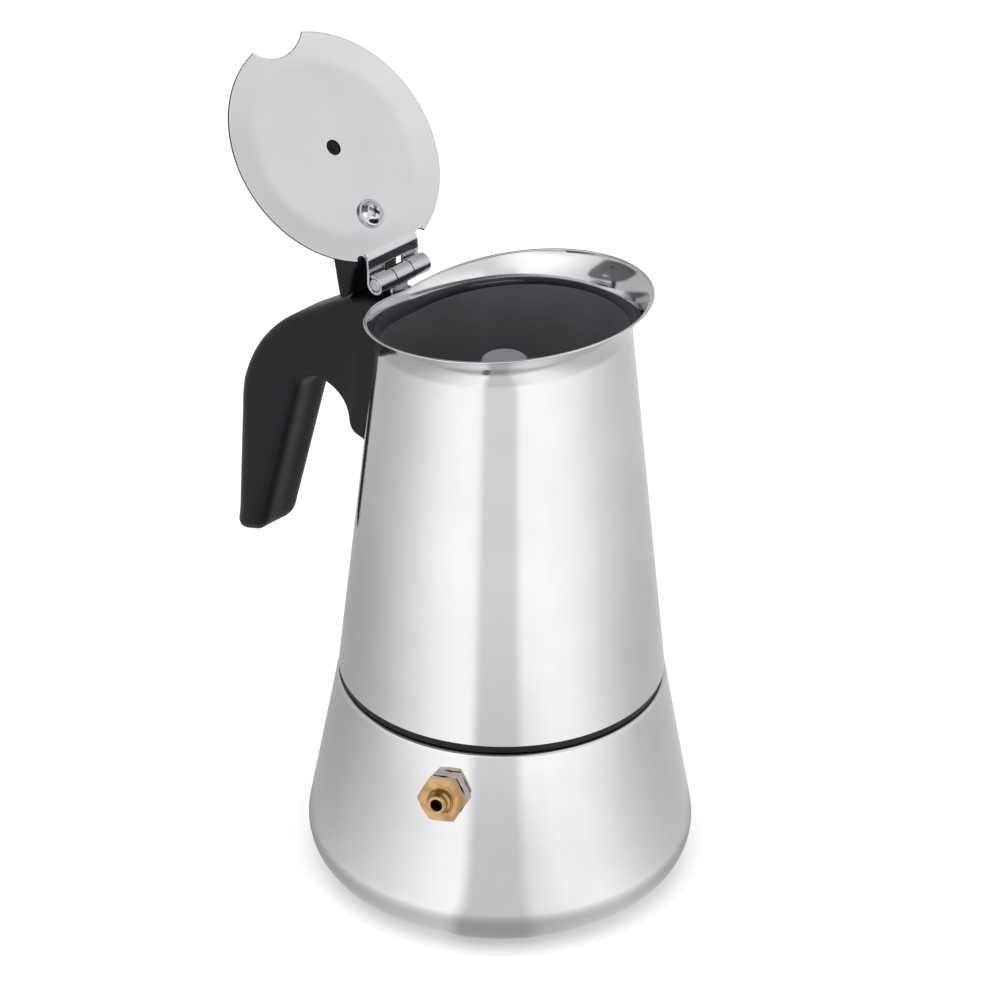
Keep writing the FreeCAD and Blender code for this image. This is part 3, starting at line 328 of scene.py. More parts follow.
def coil_tree():
    """Winds an outline into a helix about the Z axis."""
    tree, given = open_tree("wound_coil", [
        ("Turns", "NodeSocketFloat"), ("Coil Radius", "NodeSocketFloat"),
        ("Length", "NodeSocketFloat"), ("Steps Per Turn", "NodeSocketInt"),
        ("Material", "NodeSocketMaterial")])
    path = add(tree, "GeometryNodeCurveSpiral", None, {
        "Resolution": given["Steps Per Turn"], "Rotations": given["Turns"],
        "Start Radius": given["Coil Radius"], "End Radius": given["Coil Radius"],
        "Height": given["Length"]})
    level = add(tree, "GeometryNodeSetCurveNormal", {"mode": "Z_UP"},
                {"Curve": path.outputs["Curve"]})
    swept = add(tree, "GeometryNodeCurveToMesh", {"Fill Caps": True},
                {"Curve": level.outputs[0], "Profile Curve": given["Geometry"]})
    return close_tree(tree, swept.outputs[0], given["Material"])


PUNCHED_RINGS = 7
HOLES_IN_FIRST_RING = 6


def punched_tree():
    """Turns an outline round the Z axis into a disc and punches rings of holes in it."""
    tree, given = open_tree("punched_plate", [
        ("Steps", "NodeSocketInt"), ("Spindle Radius", "NodeSocketFloat"),
        ("Hole Radius", "NodeSocketFloat"), ("Hole Pitch", "NodeSocketFloat"),
        ("Punch Length", "NodeSocketFloat"), ("Material", "NodeSocketMaterial")])
    path = add(tree, "GeometryNodeCurvePrimitiveCircle", None,
               {"Resolution": given["Steps"], "Radius": given["Spindle Radius"]})
    swept = add(tree, "GeometryNodeCurveToMesh", None,
                {"Curve": path.outputs["Curve"], "Profile Curve": given["Geometry"]})
    disc = add(tree, "GeometryNodeMergeByDistance", {"Distance": 1e-6},
               {"Geometry": swept.outputs[0]})
    circles = add(tree, "GeometryNodeJoinGeometry")
    for ring in range(1, PUNCHED_RINGS + 1):
        reach = add(tree, "ShaderNodeMath", {"operation": "MULTIPLY", 1: ring},
                    {0: given["Hole Pitch"]})
        circle = add(tree, "GeometryNodeCurvePrimitiveCircle",
                     {"Resolution": HOLES_IN_FIRST_RING * ring}, {"Radius": reach.outputs[0]})
        tree.links.new(circle.outputs["Curve"], circles.inputs[0])
    spots = add(tree, "GeometryNodeCurveToPoints", {"mode": "EVALUATED"},
                {"Curve": circles.outputs[0]})
    punch = add(tree, "GeometryNodeMeshCylinder", {"Vertices": 16},
                {"Radius": given["Hole Radius"], "Depth": given["Punch Length"]})
    punches = add(tree, "GeometryNodeInstanceOnPoints", None,
                  {"Points": spots.outputs["Points"], "Instance": punch.outputs["Mesh"]})
    solid = add(tree, "GeometryNodeRealizeInstances", None, {"Geometry": punches.outputs[0]})
    punched = add(tree, "GeometryNodeMeshBoolean", {"operation": "DIFFERENCE"},
                  {"Mesh 1": disc.outputs[0], "Mesh 2": solid.outputs[0]})
    return close_tree(tree, punched.outputs[0], given["Material"])


def grown(tree, points, closed, inputs):
    """The plain mesh that a tree makes from an outline, in metres."""
    curve = bpy.data.curves.new("outline", "CURVE")
    curve.dimensions = "3D"
    line = curve.splines.new("POLY")
    line.points.add(len(points) - 1)
    for spot, (across, up) in zip(line.points, points):
        spot.co = (across, up, 0, 1)
    line.use_cyclic_u = closed
    holder = bpy.data.objects.new("outline", curve)
    bpy.context.scene.collection.objects.link(holder)
    modifier = holder.modifiers.new("shape", "NODES")
    modifier.node_group = tree
    sockets = {item.name: item.identifier for item in tree.interface.items_tree
               if item.in_out == "INPUT"}
    for label, value in inputs.items():
        modifier[sockets[label]] = value
    ready = holder.evaluated_get(bpy.context.evaluated_depsgraph_get())
    mesh = bpy.data.meshes.new_from_object(ready)
    holder.modifiers.clear()
    bpy.data.objects.remove(holder)
    bpy.data.curves.remove(curve)
    return tidy(mesh)


LATHE = lathe_tree()
COIL = coil_tree()
PUNCHED = punched_tree()
SPINDLE = 20.0


def turned(corners, material, steps=192, arc_steps=6, hold=0.25):
    """Turned shape from corners (radius, height, edge radius). Corners that start and
    end on the axis make a solid; any others are closed into a ring."""
    on_axis = corners[0][0] == 0 and corners[-1][0] == 0
    points = rounded(corners, not on_axis, arc_steps, hold)
    points = [((r - SPINDLE) * MM, -z * MM) for r, z in points]
    return grown(LATHE, points, not on_axis, {
        "Steps": steps, "Spindle Radius": SPINDLE * MM, "Material": material})


def punched(radius, thickness, hole, pitch, material):
    """A round plate about the origin with rings of holes."""
    points = rounded([(0, -thickness / 2), (radius, -thickness / 2, 0.1),
                      (radius, thickness / 2, 0.1), (0, thickness / 2)], False, 3, 0.05)
    return grown(PUNCHED, [((r - SPINDLE) * MM, -z * MM) for r, z in points], False, {
        "Steps": 128, "Spindle Radius": SPINDLE * MM, "Hole Radius": hole * MM,
        "Hole Pitch": pitch * MM, "Punch Length": thickness * 6 * MM, "Material": material})


# ---------------------------------------------------------------- the finishes
steel = polished_stainless()
# matt steel for the inside of the pot, its grey darkened as painted shade
inner_steel_painted_shade = matt_steel_painted_shade("drawn_stainless_inside_painted_shade", ("#818186", "#737378"))
cap_steel_painted_shade = matt_steel_painted_shade("drawn_stainless_cap_painted_shade", ("#88888E", "#7C7C82"))
edge_steel = polished_stainless("sheared_stainless_edge", ("#6A6A6E", "#58585C"), (0.2, 0.3))
lid_steel = polished_stainless("polished_stainless_lid", ("#D3D4D6", "#CECFD1"), (0.14, 0.20))
hinge_steel = polished_stainless("rolled_stainless_hinge", ("#CDCDD0", "#BEBEC2"),
                                 (0.10, 0.18), 0.002)
pin_steel = brushed_stainless("ground_steel_pin", ("#C3C4C8", "#AEB0B5"), (0.22, 0.30),
                              (1, 0.1, 1))
zinc = polished_stainless("bright_zinc_screw", ("#D9DBDF", "#C2C5CB"), (0.05, 0.12),
                          0.004, 0.02)
spring_wire = polished_stainless("spring_steel_wire", ("#B8B8BC", "#A5A5AA"), (0.2, 0.3),
                                 0.003)
plain_steel = brushed_stainless("plain_stainless", ("#B9BABD", "#ABACB0"), (0.28, 0.4),
                                (0.05, 0.05, 1))
phenolic = moulded_phenolic()
black_rubber = moulded_silicone("black_silicone", ("#08080A", "#101013"), (0.22, 0.34))
white_rubber = moulded_silicone("white_silicone", ("#E4E1DA", "#D8D4CB"), (0.42, 0.52))
brass = turned_brass("turned_brass", ("#C4A376", "#997748"))
# brass darkened as painted shade, for the bore of the valve's tube and the plunger seen down it
painted_shade_brass = turned_brass("turned_brass_painted_shade", ("#46372A", "#30251B"))

FINISH = {
    "boiler_shell": steel, "seam_ring": black_rubber, "valve_boss": plain_steel,
    "valve_washer": black_rubber, "valve_body": brass, "valve_seat": brass,
    "valve_plunger": painted_shade_brass, "valve_spring": spring_wire, "funnel_cup": plain_steel,
    "funnel_plate": plain_steel, "funnel_tube": plain_steel, "gasket": white_rubber,
    "filter_plate": plain_steel, "collector_shell": steel, "thread_ring": plain_steel,
    # the collector's floor, the column and its cap take painted shade for the inside of the pot
    "collector_floor": inner_steel_painted_shade, "column": inner_steel_painted_shade, "column_cap": cap_steel_painted_shade,
    "hinge_bracket": hinge_steel, "hinge_pin": pin_steel, "handle": phenolic,
    "handle_bracket": plain_steel, "handle_screw": zinc, "lid_disc": lid_steel,
    "lid_lever": phenolic, "lid_screw": zinc,
}
for node, finish in FINISH.items():
    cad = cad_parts[node]
    cad.data.materials.clear()
    cad.data.materials.append(finish)


def show(piece, body, slot, *nodes):
    """Fixes a piece to its body, in place of the CAD nodes that it details."""
    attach(piece, body)
    if nodes:
        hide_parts(*nodes)


# ---------------------------------------------------------------- shared sizes
seam_low = span("seam_ring")[0].z
seam_high = span("collector_shell")[0].z
neck_top = span("boiler_shell")[1].z
CONE_FOOT = 52.5
BOILER_SLOPE = 0.18085
COLLECTOR_FOOT = 41.9
COLLECTOR_SLOPE = 0.1045
SHEET = 0.6


def collector_radius(z):
    """Outside of the collector's cone wall."""
    return COLLECTOR_FOOT - COLLECTOR_SLOPE * (z - seam_high)


# ---------------------------------------------------------------- boiler
def make_boiler():
    wall = 0.8
    neck = 36.4
    shoulder = CONE_FOOT - BOILER_SLOPE * seam_low
    body = turned([
        (0, 0), (CONE_FOOT, 0, 12.8), (shoulder, seam_low, 1.0), (neck, seam_low, 0.5),
        (neck, neck_top, 0.25), (neck - wall, neck_top, 0.25),
        (neck - wall, seam_low - wall, 0.5), (shoulder - wall, seam_low - wall, 0.6),
        (CONE_FOOT - wall, wall, 12), (0, wall),
    ], steel, 288, 16, 0.4)
    pitch, turns = 3.0, 2.5
    root, tip, depth = 1.7, 0.6, 0.9
    outline = [(-0.3, -root / 2), (0, -root / 2), (depth, -tip / 2), (depth, tip / 2),
               (0, root / 2), (-0.3, root / 2)]
    thread = grown(COIL, [(x * MM, y * MM) for x, y in outline], True, {
        "Turns": turns, "Coil Radius": neck * MM, "Length": pitch * turns * MM,
        "Steps Per Turn": 96, "Material": steel})
    thread.transform(Matrix.Translation((0, 0, (seam_low + 4.4) * MM)))
    show(stand("boiler_body", merged([body, thread]), steel), "boiler", "polished_steel",
         "boiler_shell")
    # a black silicone ring in the gap between the boiler's shoulder and the collector's edge; its
    # black also paints the shade of that gap
    inner, outer = 36.9, COLLECTOR_FOOT - 0.6
    ring = turned([(inner, seam_low), (outer, seam_low, 0.5), (outer, seam_high, 0.5),
                   (inner, seam_high)], black_rubber, 256)
    show(stand("seam_band_painted_shade", ring, black_rubber), "boiler", "black_silicone", "seam_ring")


# ---------------------------------------------------------------- collector
AROUND = 288
LIP_STEPS = 22
# above the collector's lower edge, at the handle, and how much higher at the spout
NECK_HEIGHT, NECK_RISE = 89.2, 8.7
RIM_HEIGHT, RIM_RISE = 95.1, 13.9
# radius of the rim at the handle, and how much more at the spout
RIM_RADIUS, RIM_SPREAD = 34.4, 2.8
SIDES_LIFT = 0.6
LIP_CURL = 1.6
FOOT_HEM = 0.9


def rim_share(angle):
    """0 at the handle, 1 at the spout."""
    return ((1 + math.cos(angle)) / 2) ** SIDES_LIFT


def lip_point(angle, share):
    """Radius and height on the collector's flared lip: share 0 at its neck, 1 at its rim."""
    g = rim_share(angle)
    neck = seam_high + NECK_HEIGHT + NECK_RISE * g
    rim = seam_high + RIM_HEIGHT + RIM_RISE * g
    level = neck + share * (rim - neck)
    flare = RIM_RADIUS + RIM_SPREAD * g - collector_radius(rim)
    return collector_radius(level) + flare * share ** LIP_CURL, level


def make_collector():
    rings = []
    half = SHEET / 2
    for i in range(AROUND):
        angle = 2 * math.pi * i / AROUND
        lip = [lip_point(angle, k / LIP_STEPS) for k in range(LIP_STEPS + 1)]
        foot = [(COLLECTOR_FOOT - half + half * math.cos(t), seam_high + half - half * math.sin(t))
                for t in (0.4, 0.9, 1.4, 1.75, 2.2, 2.7)]
        profile = [(collector_radius(seam_high + FOOT_HEM), seam_high + FOOT_HEM)] + foot
        inside = [(r - SHEET, z) for r, z in lip]
        profile.append((collector_radius(seam_high + FOOT_HEM) - SHEET, seam_high + FOOT_HEM))
        profile += inside[:-1]
        rim_r, rim_z = lip[-1]
        for t in np.linspace(math.pi, 0, 9):
            profile.append((rim_r - half + half * math.cos(t), rim_z - half + half * math.sin(t)))
        profile += lip[-2::-1]
        c, s = math.cos(angle), math.sin(angle)
        rings.append([(r * c, r * s, z) for r, z in profile])
    piece = stand("collector_body", skin(rings), steel)
    line_inside(piece)
    show(piece, "collector", "polished_steel", "collector_shell")


def line_inside(piece):
    """Gives the inner wall below the lip its own matt finish, darkened as painted shade."""
    mesh = piece.data
    mesh.materials.append(inner_steel_painted_shade)
    for face in mesh.polygons:
        spot = face.center / MM
        outward = Vector((spot.x, spot.y, 0)).normalized()
        neck = lip_point(math.atan2(spot.y, spot.x), 0)[1]
        if face.normal.dot(outward) < 0 and spot.z < neck:
            face.material_index = 1


def make_column():
    low, high = span("column")
    foot = span("collector_floor")[1].z
    shank, bore, spread = 5.2, 4.6, 8.0
    column = turned([(bore, low.z), (shank, low.z), (shank, foot), (spread, foot, 0.3),
                     (spread, foot + 0.6, 0.3), (shank, foot + 6, 4), (shank, high.z),
                     (bore, high.z)], inner_steel_painted_shade, 64)
    show(stand("coffee_column", column, inner_steel_painted_shade), "collector", "plain_steel", "column")
    low, high = span("column_cap")
    bore, outside, wall = 5.25, 6.05, 0.8
    # the cap's darker grey is painted shade inside the pot
    cap = turned([(0, high.z - wall), (bore, high.z - wall), (bore, low.z),
                  (outside, low.z, 0.2), (outside, high.z, 1.2), (0, high.z)], cap_steel_painted_shade, 64)
    outlet = turned([(0, -10), (1.5, -10), (1.5, 10), (0, 10)], cap_steel_painted_shade, 24)
    outlet.transform(Matrix.Translation((0, 0, (high.z - 2.8) * MM))
                     @ Matrix.Rotation(math.pi / 2, 4, "Y"))
    show(stand("column_cap_top", carved(cap, outlet), cap_steel_painted_shade), "collector", "plain_steel",
         "column_cap")


# ---------------------------------------------------------------- hinge and lid
pin_low, pin_high = span("hinge_pin")
PIN = (pin_low + pin_high) / 2
PIN_RADIUS = 1.82
KNUCKLE_OUTSIDE = 2.6
HINGE_HALF = pin_high.y
MIDDLE_HALF = 2.9
STRIP = 0.7
LID_ANGLE = math.radians(132.4)
LID_REACH = 35.8
LID_DROP = 2.34
LID_RADIUS = 31.3
BEND_REACH, BEND_HALF = 29.3, 9.0
# round bites out of the disc's edge: the notch over the spout and the reliefs of the bend
BITES = (((38.3, 0), 12.0), ((-29.4, 10.6), 1.6), ((-29.4, -10.6), 1.6))
LID_SCREW_REACH = LID_RADIUS - 12.2
PIN_ABOVE_RIM = 3.7


def carved(mesh, *cutters):
    """The mesh with other closed meshes cut out of it."""
    work = bpy.data.objects.new("work", mesh)
    bpy.context.scene.collection.objects.link(work)
    tools = []
    for i, cutter in enumerate(cutters):
        tool = bpy.data.objects.new("tool", cutter)
        bpy.context.scene.collection.objects.link(tool)
        tools.append(tool)
        step = work.modifiers.new(f"cut_{i}", "BOOLEAN")
        step.operation = "DIFFERENCE"
        step.solver = "EXACT"
        step.object = tool
    ready = work.evaluated_get(bpy.context.evaluated_depsgraph_get())
    result = bpy.data.meshes.new_from_object(ready)
    work.modifiers.clear()
    for used in [work] + tools:
        bpy.data.objects.remove(used)
    return tidy(result)


def lid_place(along, up, across=0.0):
    """A point of the open lid: along to the spout notch, up from its shut underside."""
    c, s = math.cos(LID_ANGLE), math.sin(LID_ANGLE)
    reach, rise = LID_REACH + along, up - LID_DROP
    return Vector((PIN.x + c * reach - s * rise, across, PIN.z + s * reach + c * rise))


def lid_matrix():
    """Carries a mesh drawn in the lid's frame, in metres, into the pot's frame."""
    origin = lid_place(0, 0)
    columns = [lid_place(1, 0) - origin, Vector((0, 1, 0)), lid_place(0, 1) - origin]
    turn = Matrix(columns).transposed().to_4x4()
    return Matrix.Translation(origin * MM) @ turn


def strip_of_sheet(path, low, high, thickness=STRIP, bevel=0.12):
    """A strip of sheet bent along a path in the XZ plane, `low` to `high` in Y."""
    path = [Vector(spot) for spot in path]
    half = thickness / 2
    loop = [(-half, low + bevel), (-half + bevel, low), (half - bevel, low),
            (half, low + bevel), (half, high - bevel), (half - bevel, high),
            (-half + bevel, high), (-half, high - bevel)]
    rings = []
    for i, spot in enumerate(path):
        ahead = path[min(i + 1, len(path) - 1)] - path[max(i - 1, 0)]
        side = Vector((-ahead.y, ahead.x)).normalized()
        rings.append([(spot.x + side.x * u, y, spot.y + side.y * u) for u, y in loop])
    return skin(rings, round_again=False)


def across_y(mesh, x, z):
    """Lays a turned mesh along Y, its axis through (x, z)."""
    mesh.transform(Matrix.Translation((x * MM, 0, z * MM)) @ Matrix.Rotation(-math.pi / 2, 4, "X"))
    return mesh


def make_hinge():
    middle = (KNUCKLE_OUTSIDE + PIN_RADIUS + 0.05) / 2
    inner = PIN_RADIUS + 0.05
    edge = 0.15
    knuckle = across_y(turned([
        (inner, -MIDDLE_HALF), (KNUCKLE_OUTSIDE, -MIDDLE_HALF, edge),
        (KNUCKLE_OUTSIDE, MIDDLE_HALF, edge), (inner, MIDDLE_HALF)], hinge_steel, 64), PIN.x, PIN.z)
    low = span("hinge_bracket")[0].z
    rim = PIN.z - PIN_ABOVE_RIM
    side = STRIP / 2
    leaf = strip_of_sheet(rounded([
        (-collector_radius(low) - side, low), (-collector_radius(rim - 7.5) - side, rim - 7.5, 6),
        (PIN.x, rim - 1.5, 3), (PIN.x, PIN.z - middle)], False), -MIDDLE_HALF, MIDDLE_HALF)
    show(stand("hinge_leaf", merged([knuckle, leaf]), hinge_steel), "collector",
         "polished_steel", "hinge_bracket")
    dome, shank = 0.45, PIN_RADIUS - 0.1
    pin = across_y(turned([
        (0, -HINGE_HALF), (shank, -HINGE_HALF, dome), (shank, HINGE_HALF, dome),
        (0, HINGE_HALF)], pin_steel, 48), PIN.x, PIN.z)
    show(stand("hinge_rod", pin, pin_steel), "collector", "satin_steel", "hinge_pin")


def lid_outline(angle):
    """Reach of the lid's edge from its centre: the circle, less the notch over the
    spout, the bend to the hinge tab and the round relief at each end of the bend."""
    c, s = math.cos(angle), math.sin(angle)
    reach = LID_RADIUS
    if c < 0 and abs(s / c) * BEND_REACH < BEND_HALF:
        reach = BEND_REACH / -c
    for (x, y), radius in BITES:
        ahead = x * c + y * s
        off = abs(x * s - y * c)
        if ahead > 0 and off < radius:
            reach = min(reach, ahead - math.sqrt(radius ** 2 - off ** 2))
    return reach


def dish_rise(reach):
    """Height of the lid's raised middle above its rim."""
    edge, rise, soft = LID_RADIUS - 7.7, 1.0, 1.6
    if reach <= edge - soft:
        return rise
    fall = rise / (LID_RADIUS - edge)
    if reach >= edge + soft:
        return rise - (reach - edge) * fall
    return rise - fall * (reach - edge + soft) ** 2 / (4 * soft)


def make_lid_disc():
    half = STRIP / 2
    corners = []
    for (x, y), radius in BITES:
        gap = math.hypot(x, y)
        for reach in (LID_RADIUS, 29.5):
            share = (gap ** 2 + reach ** 2 - radius ** 2) / (2 * gap * reach)
            if abs(share) < 1:
                for side in (-1, 1):
                    for nudge in (-0.002, 0, 0.002):
                        corners.append(math.atan2(y, x) + side * math.acos(share) + nudge)
    corners += [math.pi + side * (math.atan(BEND_HALF / BEND_REACH) + nudge)
                for side in (-1, 1) for nudge in (-0.001, 0.001)]
    fine = [side * (math.pi - 0.35) + 0.004 * k for side in (-1, 1) for k in range(-22, 23)]
    angles = [2 * math.pi * k / 288 for k in range(288)] + corners + fine
    angles = np.unique(np.round(np.mod(angles, 2 * math.pi), 5))
    hole, slope_end, lip = 2.1, 25.4, 0.3
    spans = [hole, hole + 0.15, 6, 12, 18, 21.9, 22.4, 22.9, 23.4, 23.9, 24.4, 24.9, slope_end]
    rings = []
    for angle in angles:
        edge = lid_outline(angle)
        reaches = spans + [slope_end + (edge - slope_end) * k for k in (0.35, 0.7, 0.92)]
        reaches.append(edge - lip)
        turn = [(edge - lip + lip * math.sin(t), math.cos(t)) for t in (0.5, 1.0, 1.57, 2.1, 2.6)]
        loop = [(r, dish_rise(r) - half) for r in reaches]
        loop += [(r, dish_rise(r) - half * k) for r, k in turn]
        loop += [(r, dish_rise(r) + half) for r in reaches[::-1]]
        c, s = math.cos(angle), math.sin(angle)
        rings.append([(r * c, r * s, up) for r, up in loop])
    disc = skin(rings)
    disc.transform(lid_matrix())

    # tab: bent down from the disc's edge, curled round the pin at both ends
    inner = PIN_RADIUS + 0.08
    middle = (KNUCKLE_OUTSIDE + inner) / 2
    start, bend = lid_place(-27.9, 0), lid_place(-29.5, 0)
    down = [(start.x, start.z), (bend.x, bend.z, 1.1), (PIN.x - middle, PIN.z + 3.6)]
    down = rounded(down, False, 8)
    curl = [(PIN.x + middle * math.cos(t), PIN.z + middle * math.sin(t))
            for t in np.radians(np.arange(180, 481, 7.5))]
    gap = MIDDLE_HALF + 0.3
    tab = [strip_of_sheet(down, -HINGE_HALF, HINGE_HALF)]
    for low, high in ((-HINGE_HALF, -gap), (gap, HINGE_HALF)):
        tab.append(strip_of_sheet([down[-1]] + curl, low, high))
    piece = stand("lid_plate", merged([disc] + tab), lid_steel)
    piece.data.materials.append(hinge_steel)
    piece.data.materials.append(edge_steel)
    underside = (lid_place(0, 0) - lid_place(0, 1)).normalized()
    for face in piece.data.polygons:
        if face.center.z < (bend.z + 0.2) * MM:
            face.material_index = 1
        elif abs(face.normal.dot(underside)) < 0.8:
            face.material_index = 2
    show(piece, "lid", "satin_steel", "lid_disc")


def make_lid_screw():
    rim, dome, height, lift = 3.7, 3.1, 2.0, 0.65
    seat = dish_rise(LID_SCREW_REACH) - STRIP / 2
    head = turned([(0, seat - height), (dome - 1.0, seat - height, 1.6), (dome, seat - lift, 0.7),
                   (rim, seat - lift, 0.25), (rim, seat + 0.1, 0.1), (1.6, seat + 0.1),
                   (1.6, seat + 7), (0, seat + 7)], zinc, 64)
    arms = []
    for turn in (45, 135):
        reach, wide, deep = 2.0, 0.52, 1.5
        top = [(-reach, -wide), (reach, -wide), (reach, wide), (-reach, wide)]
        taper = [(x * 0.45, y * 0.7) for x, y in top]
        rings = [[(x, y, seat - height - 0.5) for x, y in top],
                 [(x, y, seat - height + deep) for x, y in taper]]
        arm = skin(rings, round_again=False)
        arm.transform(Matrix.Rotation(math.radians(turn), 4, "Z"))
        arms.append(arm)
    screw = carved(head, *arms)
    screw.transform(Matrix.Translation((-LID_SCREW_REACH * MM, 0, 0)))
    screw.transform(lid_matrix())
    show(stand("lid_pan_screw", screw, zinc), "lid", "plain_steel", "lid_screw")


# ---------------------------------------------------------------- moulded parts
CORNER_STEPS = 6
CHANNEL_STEPS = 10


def section(half_u, half_v, back, front, hollow=0.0):
    """Loop round a moulded bar, u across it and v along its width. Its corners have one
    radius at the back (+u) and one at the front, which can be hollowed into a channel."""
    back = min(back, half_u * 0.98, half_v * 0.98)
    front = min(front, half_u * 0.98, half_v * 0.98)
    loop = []
    for quarter, (su, sv) in enumerate(((1, 1), (-1, 1), (-1, -1), (1, -1))):
        edge = back if su > 0 else front
        if quarter == 2:
            for t in np.linspace(1, -1, CHANNEL_STEPS + 1)[1:-1]:
                loop.append((-half_u + hollow * math.cos(t * math.pi / 2) ** 2,
                             t * (half_v - edge)))
        for k in range(CORNER_STEPS + 1):
            turn = math.pi / 2 * (quarter + k / CORNER_STEPS)
            loop.append((su * (half_u - edge) + edge * math.cos(turn),
                         sv * (half_v - edge) + edge * math.sin(turn)))
    return loop


def spaced(points, anchors, shares):
    """Points on a line at shares that run from one anchor to the next."""
    points = np.asarray(points, float)
    lengths = np.concatenate([[0], np.cumsum(np.linalg.norm(np.diff(points, axis=0), axis=1))])
    marks = [lengths[np.argmin(np.linalg.norm(points - np.asarray(a), axis=1))] for a in anchors]
    marks[0], marks[-1] = 0, lengths[-1]
    at = np.interp(shares, np.arange(len(anchors)), marks)
    return np.stack([np.interp(at, lengths, points[:, k]) for k in (0, 1)], axis=1)


def bar_rings(outer, inner, widths, backs, fronts, hollows, dome):
    """Rings of a bar between two lines of its side view, its first end domed."""
    rings = []

    def ring(far, near, half_v, back, front, hollow, shrink=0.0, shift=(0, 0)):
        middle = (far + near) / 2 + shift
        across = (far - near) / np.linalg.norm(far - near)
        half_u = np.linalg.norm(far - near) / 2 - shrink
        loop = section(half_u, half_v - shrink, max(back - shrink, 0.3),
                       max(front - shrink, 0.3), hollow)
        return [(middle[0] + across[0] * u, v, middle[1] + across[1] * u) for u, v in loop]

    outward = (outer[0] + inner[0]) / 2 - (outer[1] + inner[1]) / 2
    outward /= np.linalg.norm(outward)
    for turn in np.radians([88, 74, 58, 42, 28, 14]):
        rings.append(ring(outer[0], inner[0], widths[0], backs[0], fronts[0], hollows[0],
                          dome * (1 - math.cos(turn)), outward * dome * math.sin(turn)))
    for values in zip(outer, inner, widths, backs, fronts, hollows):
        rings.append(ring(*values))
    return rings


def wall_gap(z):
    """How near the pot's axis the handle may come at a height."""
    flare = seam_high + NECK_HEIGHT - 1
    cone = collector_radius(z) + 0.1
    return cone if z < flare else max(cone, 35.0 - max(0.0, flare + 3 - z) * 0.8)


def make_handle():
    end_dome = 4.4
    top_z, low_z = PIN.z - 5.4, PIN.z - 50.2
    outer = rounded([(PIN.x - 55.35, PIN.z - 91.0), (PIN.x - 52.1, PIN.z - 34.3, 49),
                     (PIN.x - 9.5, PIN.z - 6.7, 15), (-wall_gap(top_z), top_z)], False, 24, 0.01)
    inner = rounded([(PIN.x - 43.3, PIN.z - 86.8), (PIN.x - 29.1, PIN.z - 36.4, 10),
                     (PIN.x - 11.7, PIN.z - 36.4, 10), (PIN.x - 10.9, PIN.z - 47.9, 2),
                     (-wall_gap(low_z), low_z)], False, 16, 0.01)
    # stations that face each other on the outer and inner lines
    pairs = [((-55.75, -91.6), (-43.5, -87.4)), ((-53.5, -58), (-35.6, -59)),
             ((-51.0, -44), (-30.6, -41.4)), ((-39.5, -26), (-24.0, -36.0)),
             ((-22.5, -15), (-17.5, -37.2)), ((-13.0, -9.1), (-12.6, -41)),
             ((-5.0, -6.3), (-11.1, -47.2)), ((2, -5.4), (-4, -50.2))]
    shares = np.linspace(0, len(pairs) - 1, 113)
    far = spaced(outer, [(PIN.x + a[0], PIN.z + a[1]) for a, _ in pairs], shares)
    near = spaced(inner, [(PIN.x + b[0], PIN.z + b[1]) for _, b in pairs], shares)
    hollow = np.interp(shares, (0, 0.6, 1.6, 2.3, 3.0), (0.2, 0.5, 0.5, 0.3, 0))
    backs = np.interp(shares, (0, 1.0, 1.8, 2.6, 7), (6.8, 6.8, 4.2, 3.0, 3.0))
    fronts = np.full(len(shares), 3.0)
    widths = np.full(len(shares), 7.25)
    rings = bar_rings(far, near, widths, backs, fronts, hollow, end_dome)
    rings[-1] = [(-math.sqrt(wall_gap(z) ** 2 - y ** 2), y, z) for _, y, z in rings[-1]]
    body = skin(rings, round_again=False, last_cap=False)

    # the face against the collector's wall
    loop = rings[-1]
    rows, steps, points, faces = len(loop) // 2, 8, [], []
    for i in range(rows + 1):
        (_, y0, z0), (_, y1, z1) = loop[i], loop[len(loop) - 1 - i]
        for t in np.linspace(0, 1, steps + 1):
            y, z = y0 + (y1 - y0) * t, z0 + (z1 - z0) * t
            points.append((-math.sqrt(wall_gap(z) ** 2 - y ** 2), y, z))
    for i in range(rows):
        for k in range(steps):
            spot = i * (steps + 1) + k
            faces.append((spot, spot + 1, spot + steps + 2, spot + steps + 1))
    piece = stand("handle_grip", tidy(merged([body, from_points(points, faces)])), phenolic)
    show(piece, "collector", "black_plastic", "handle")


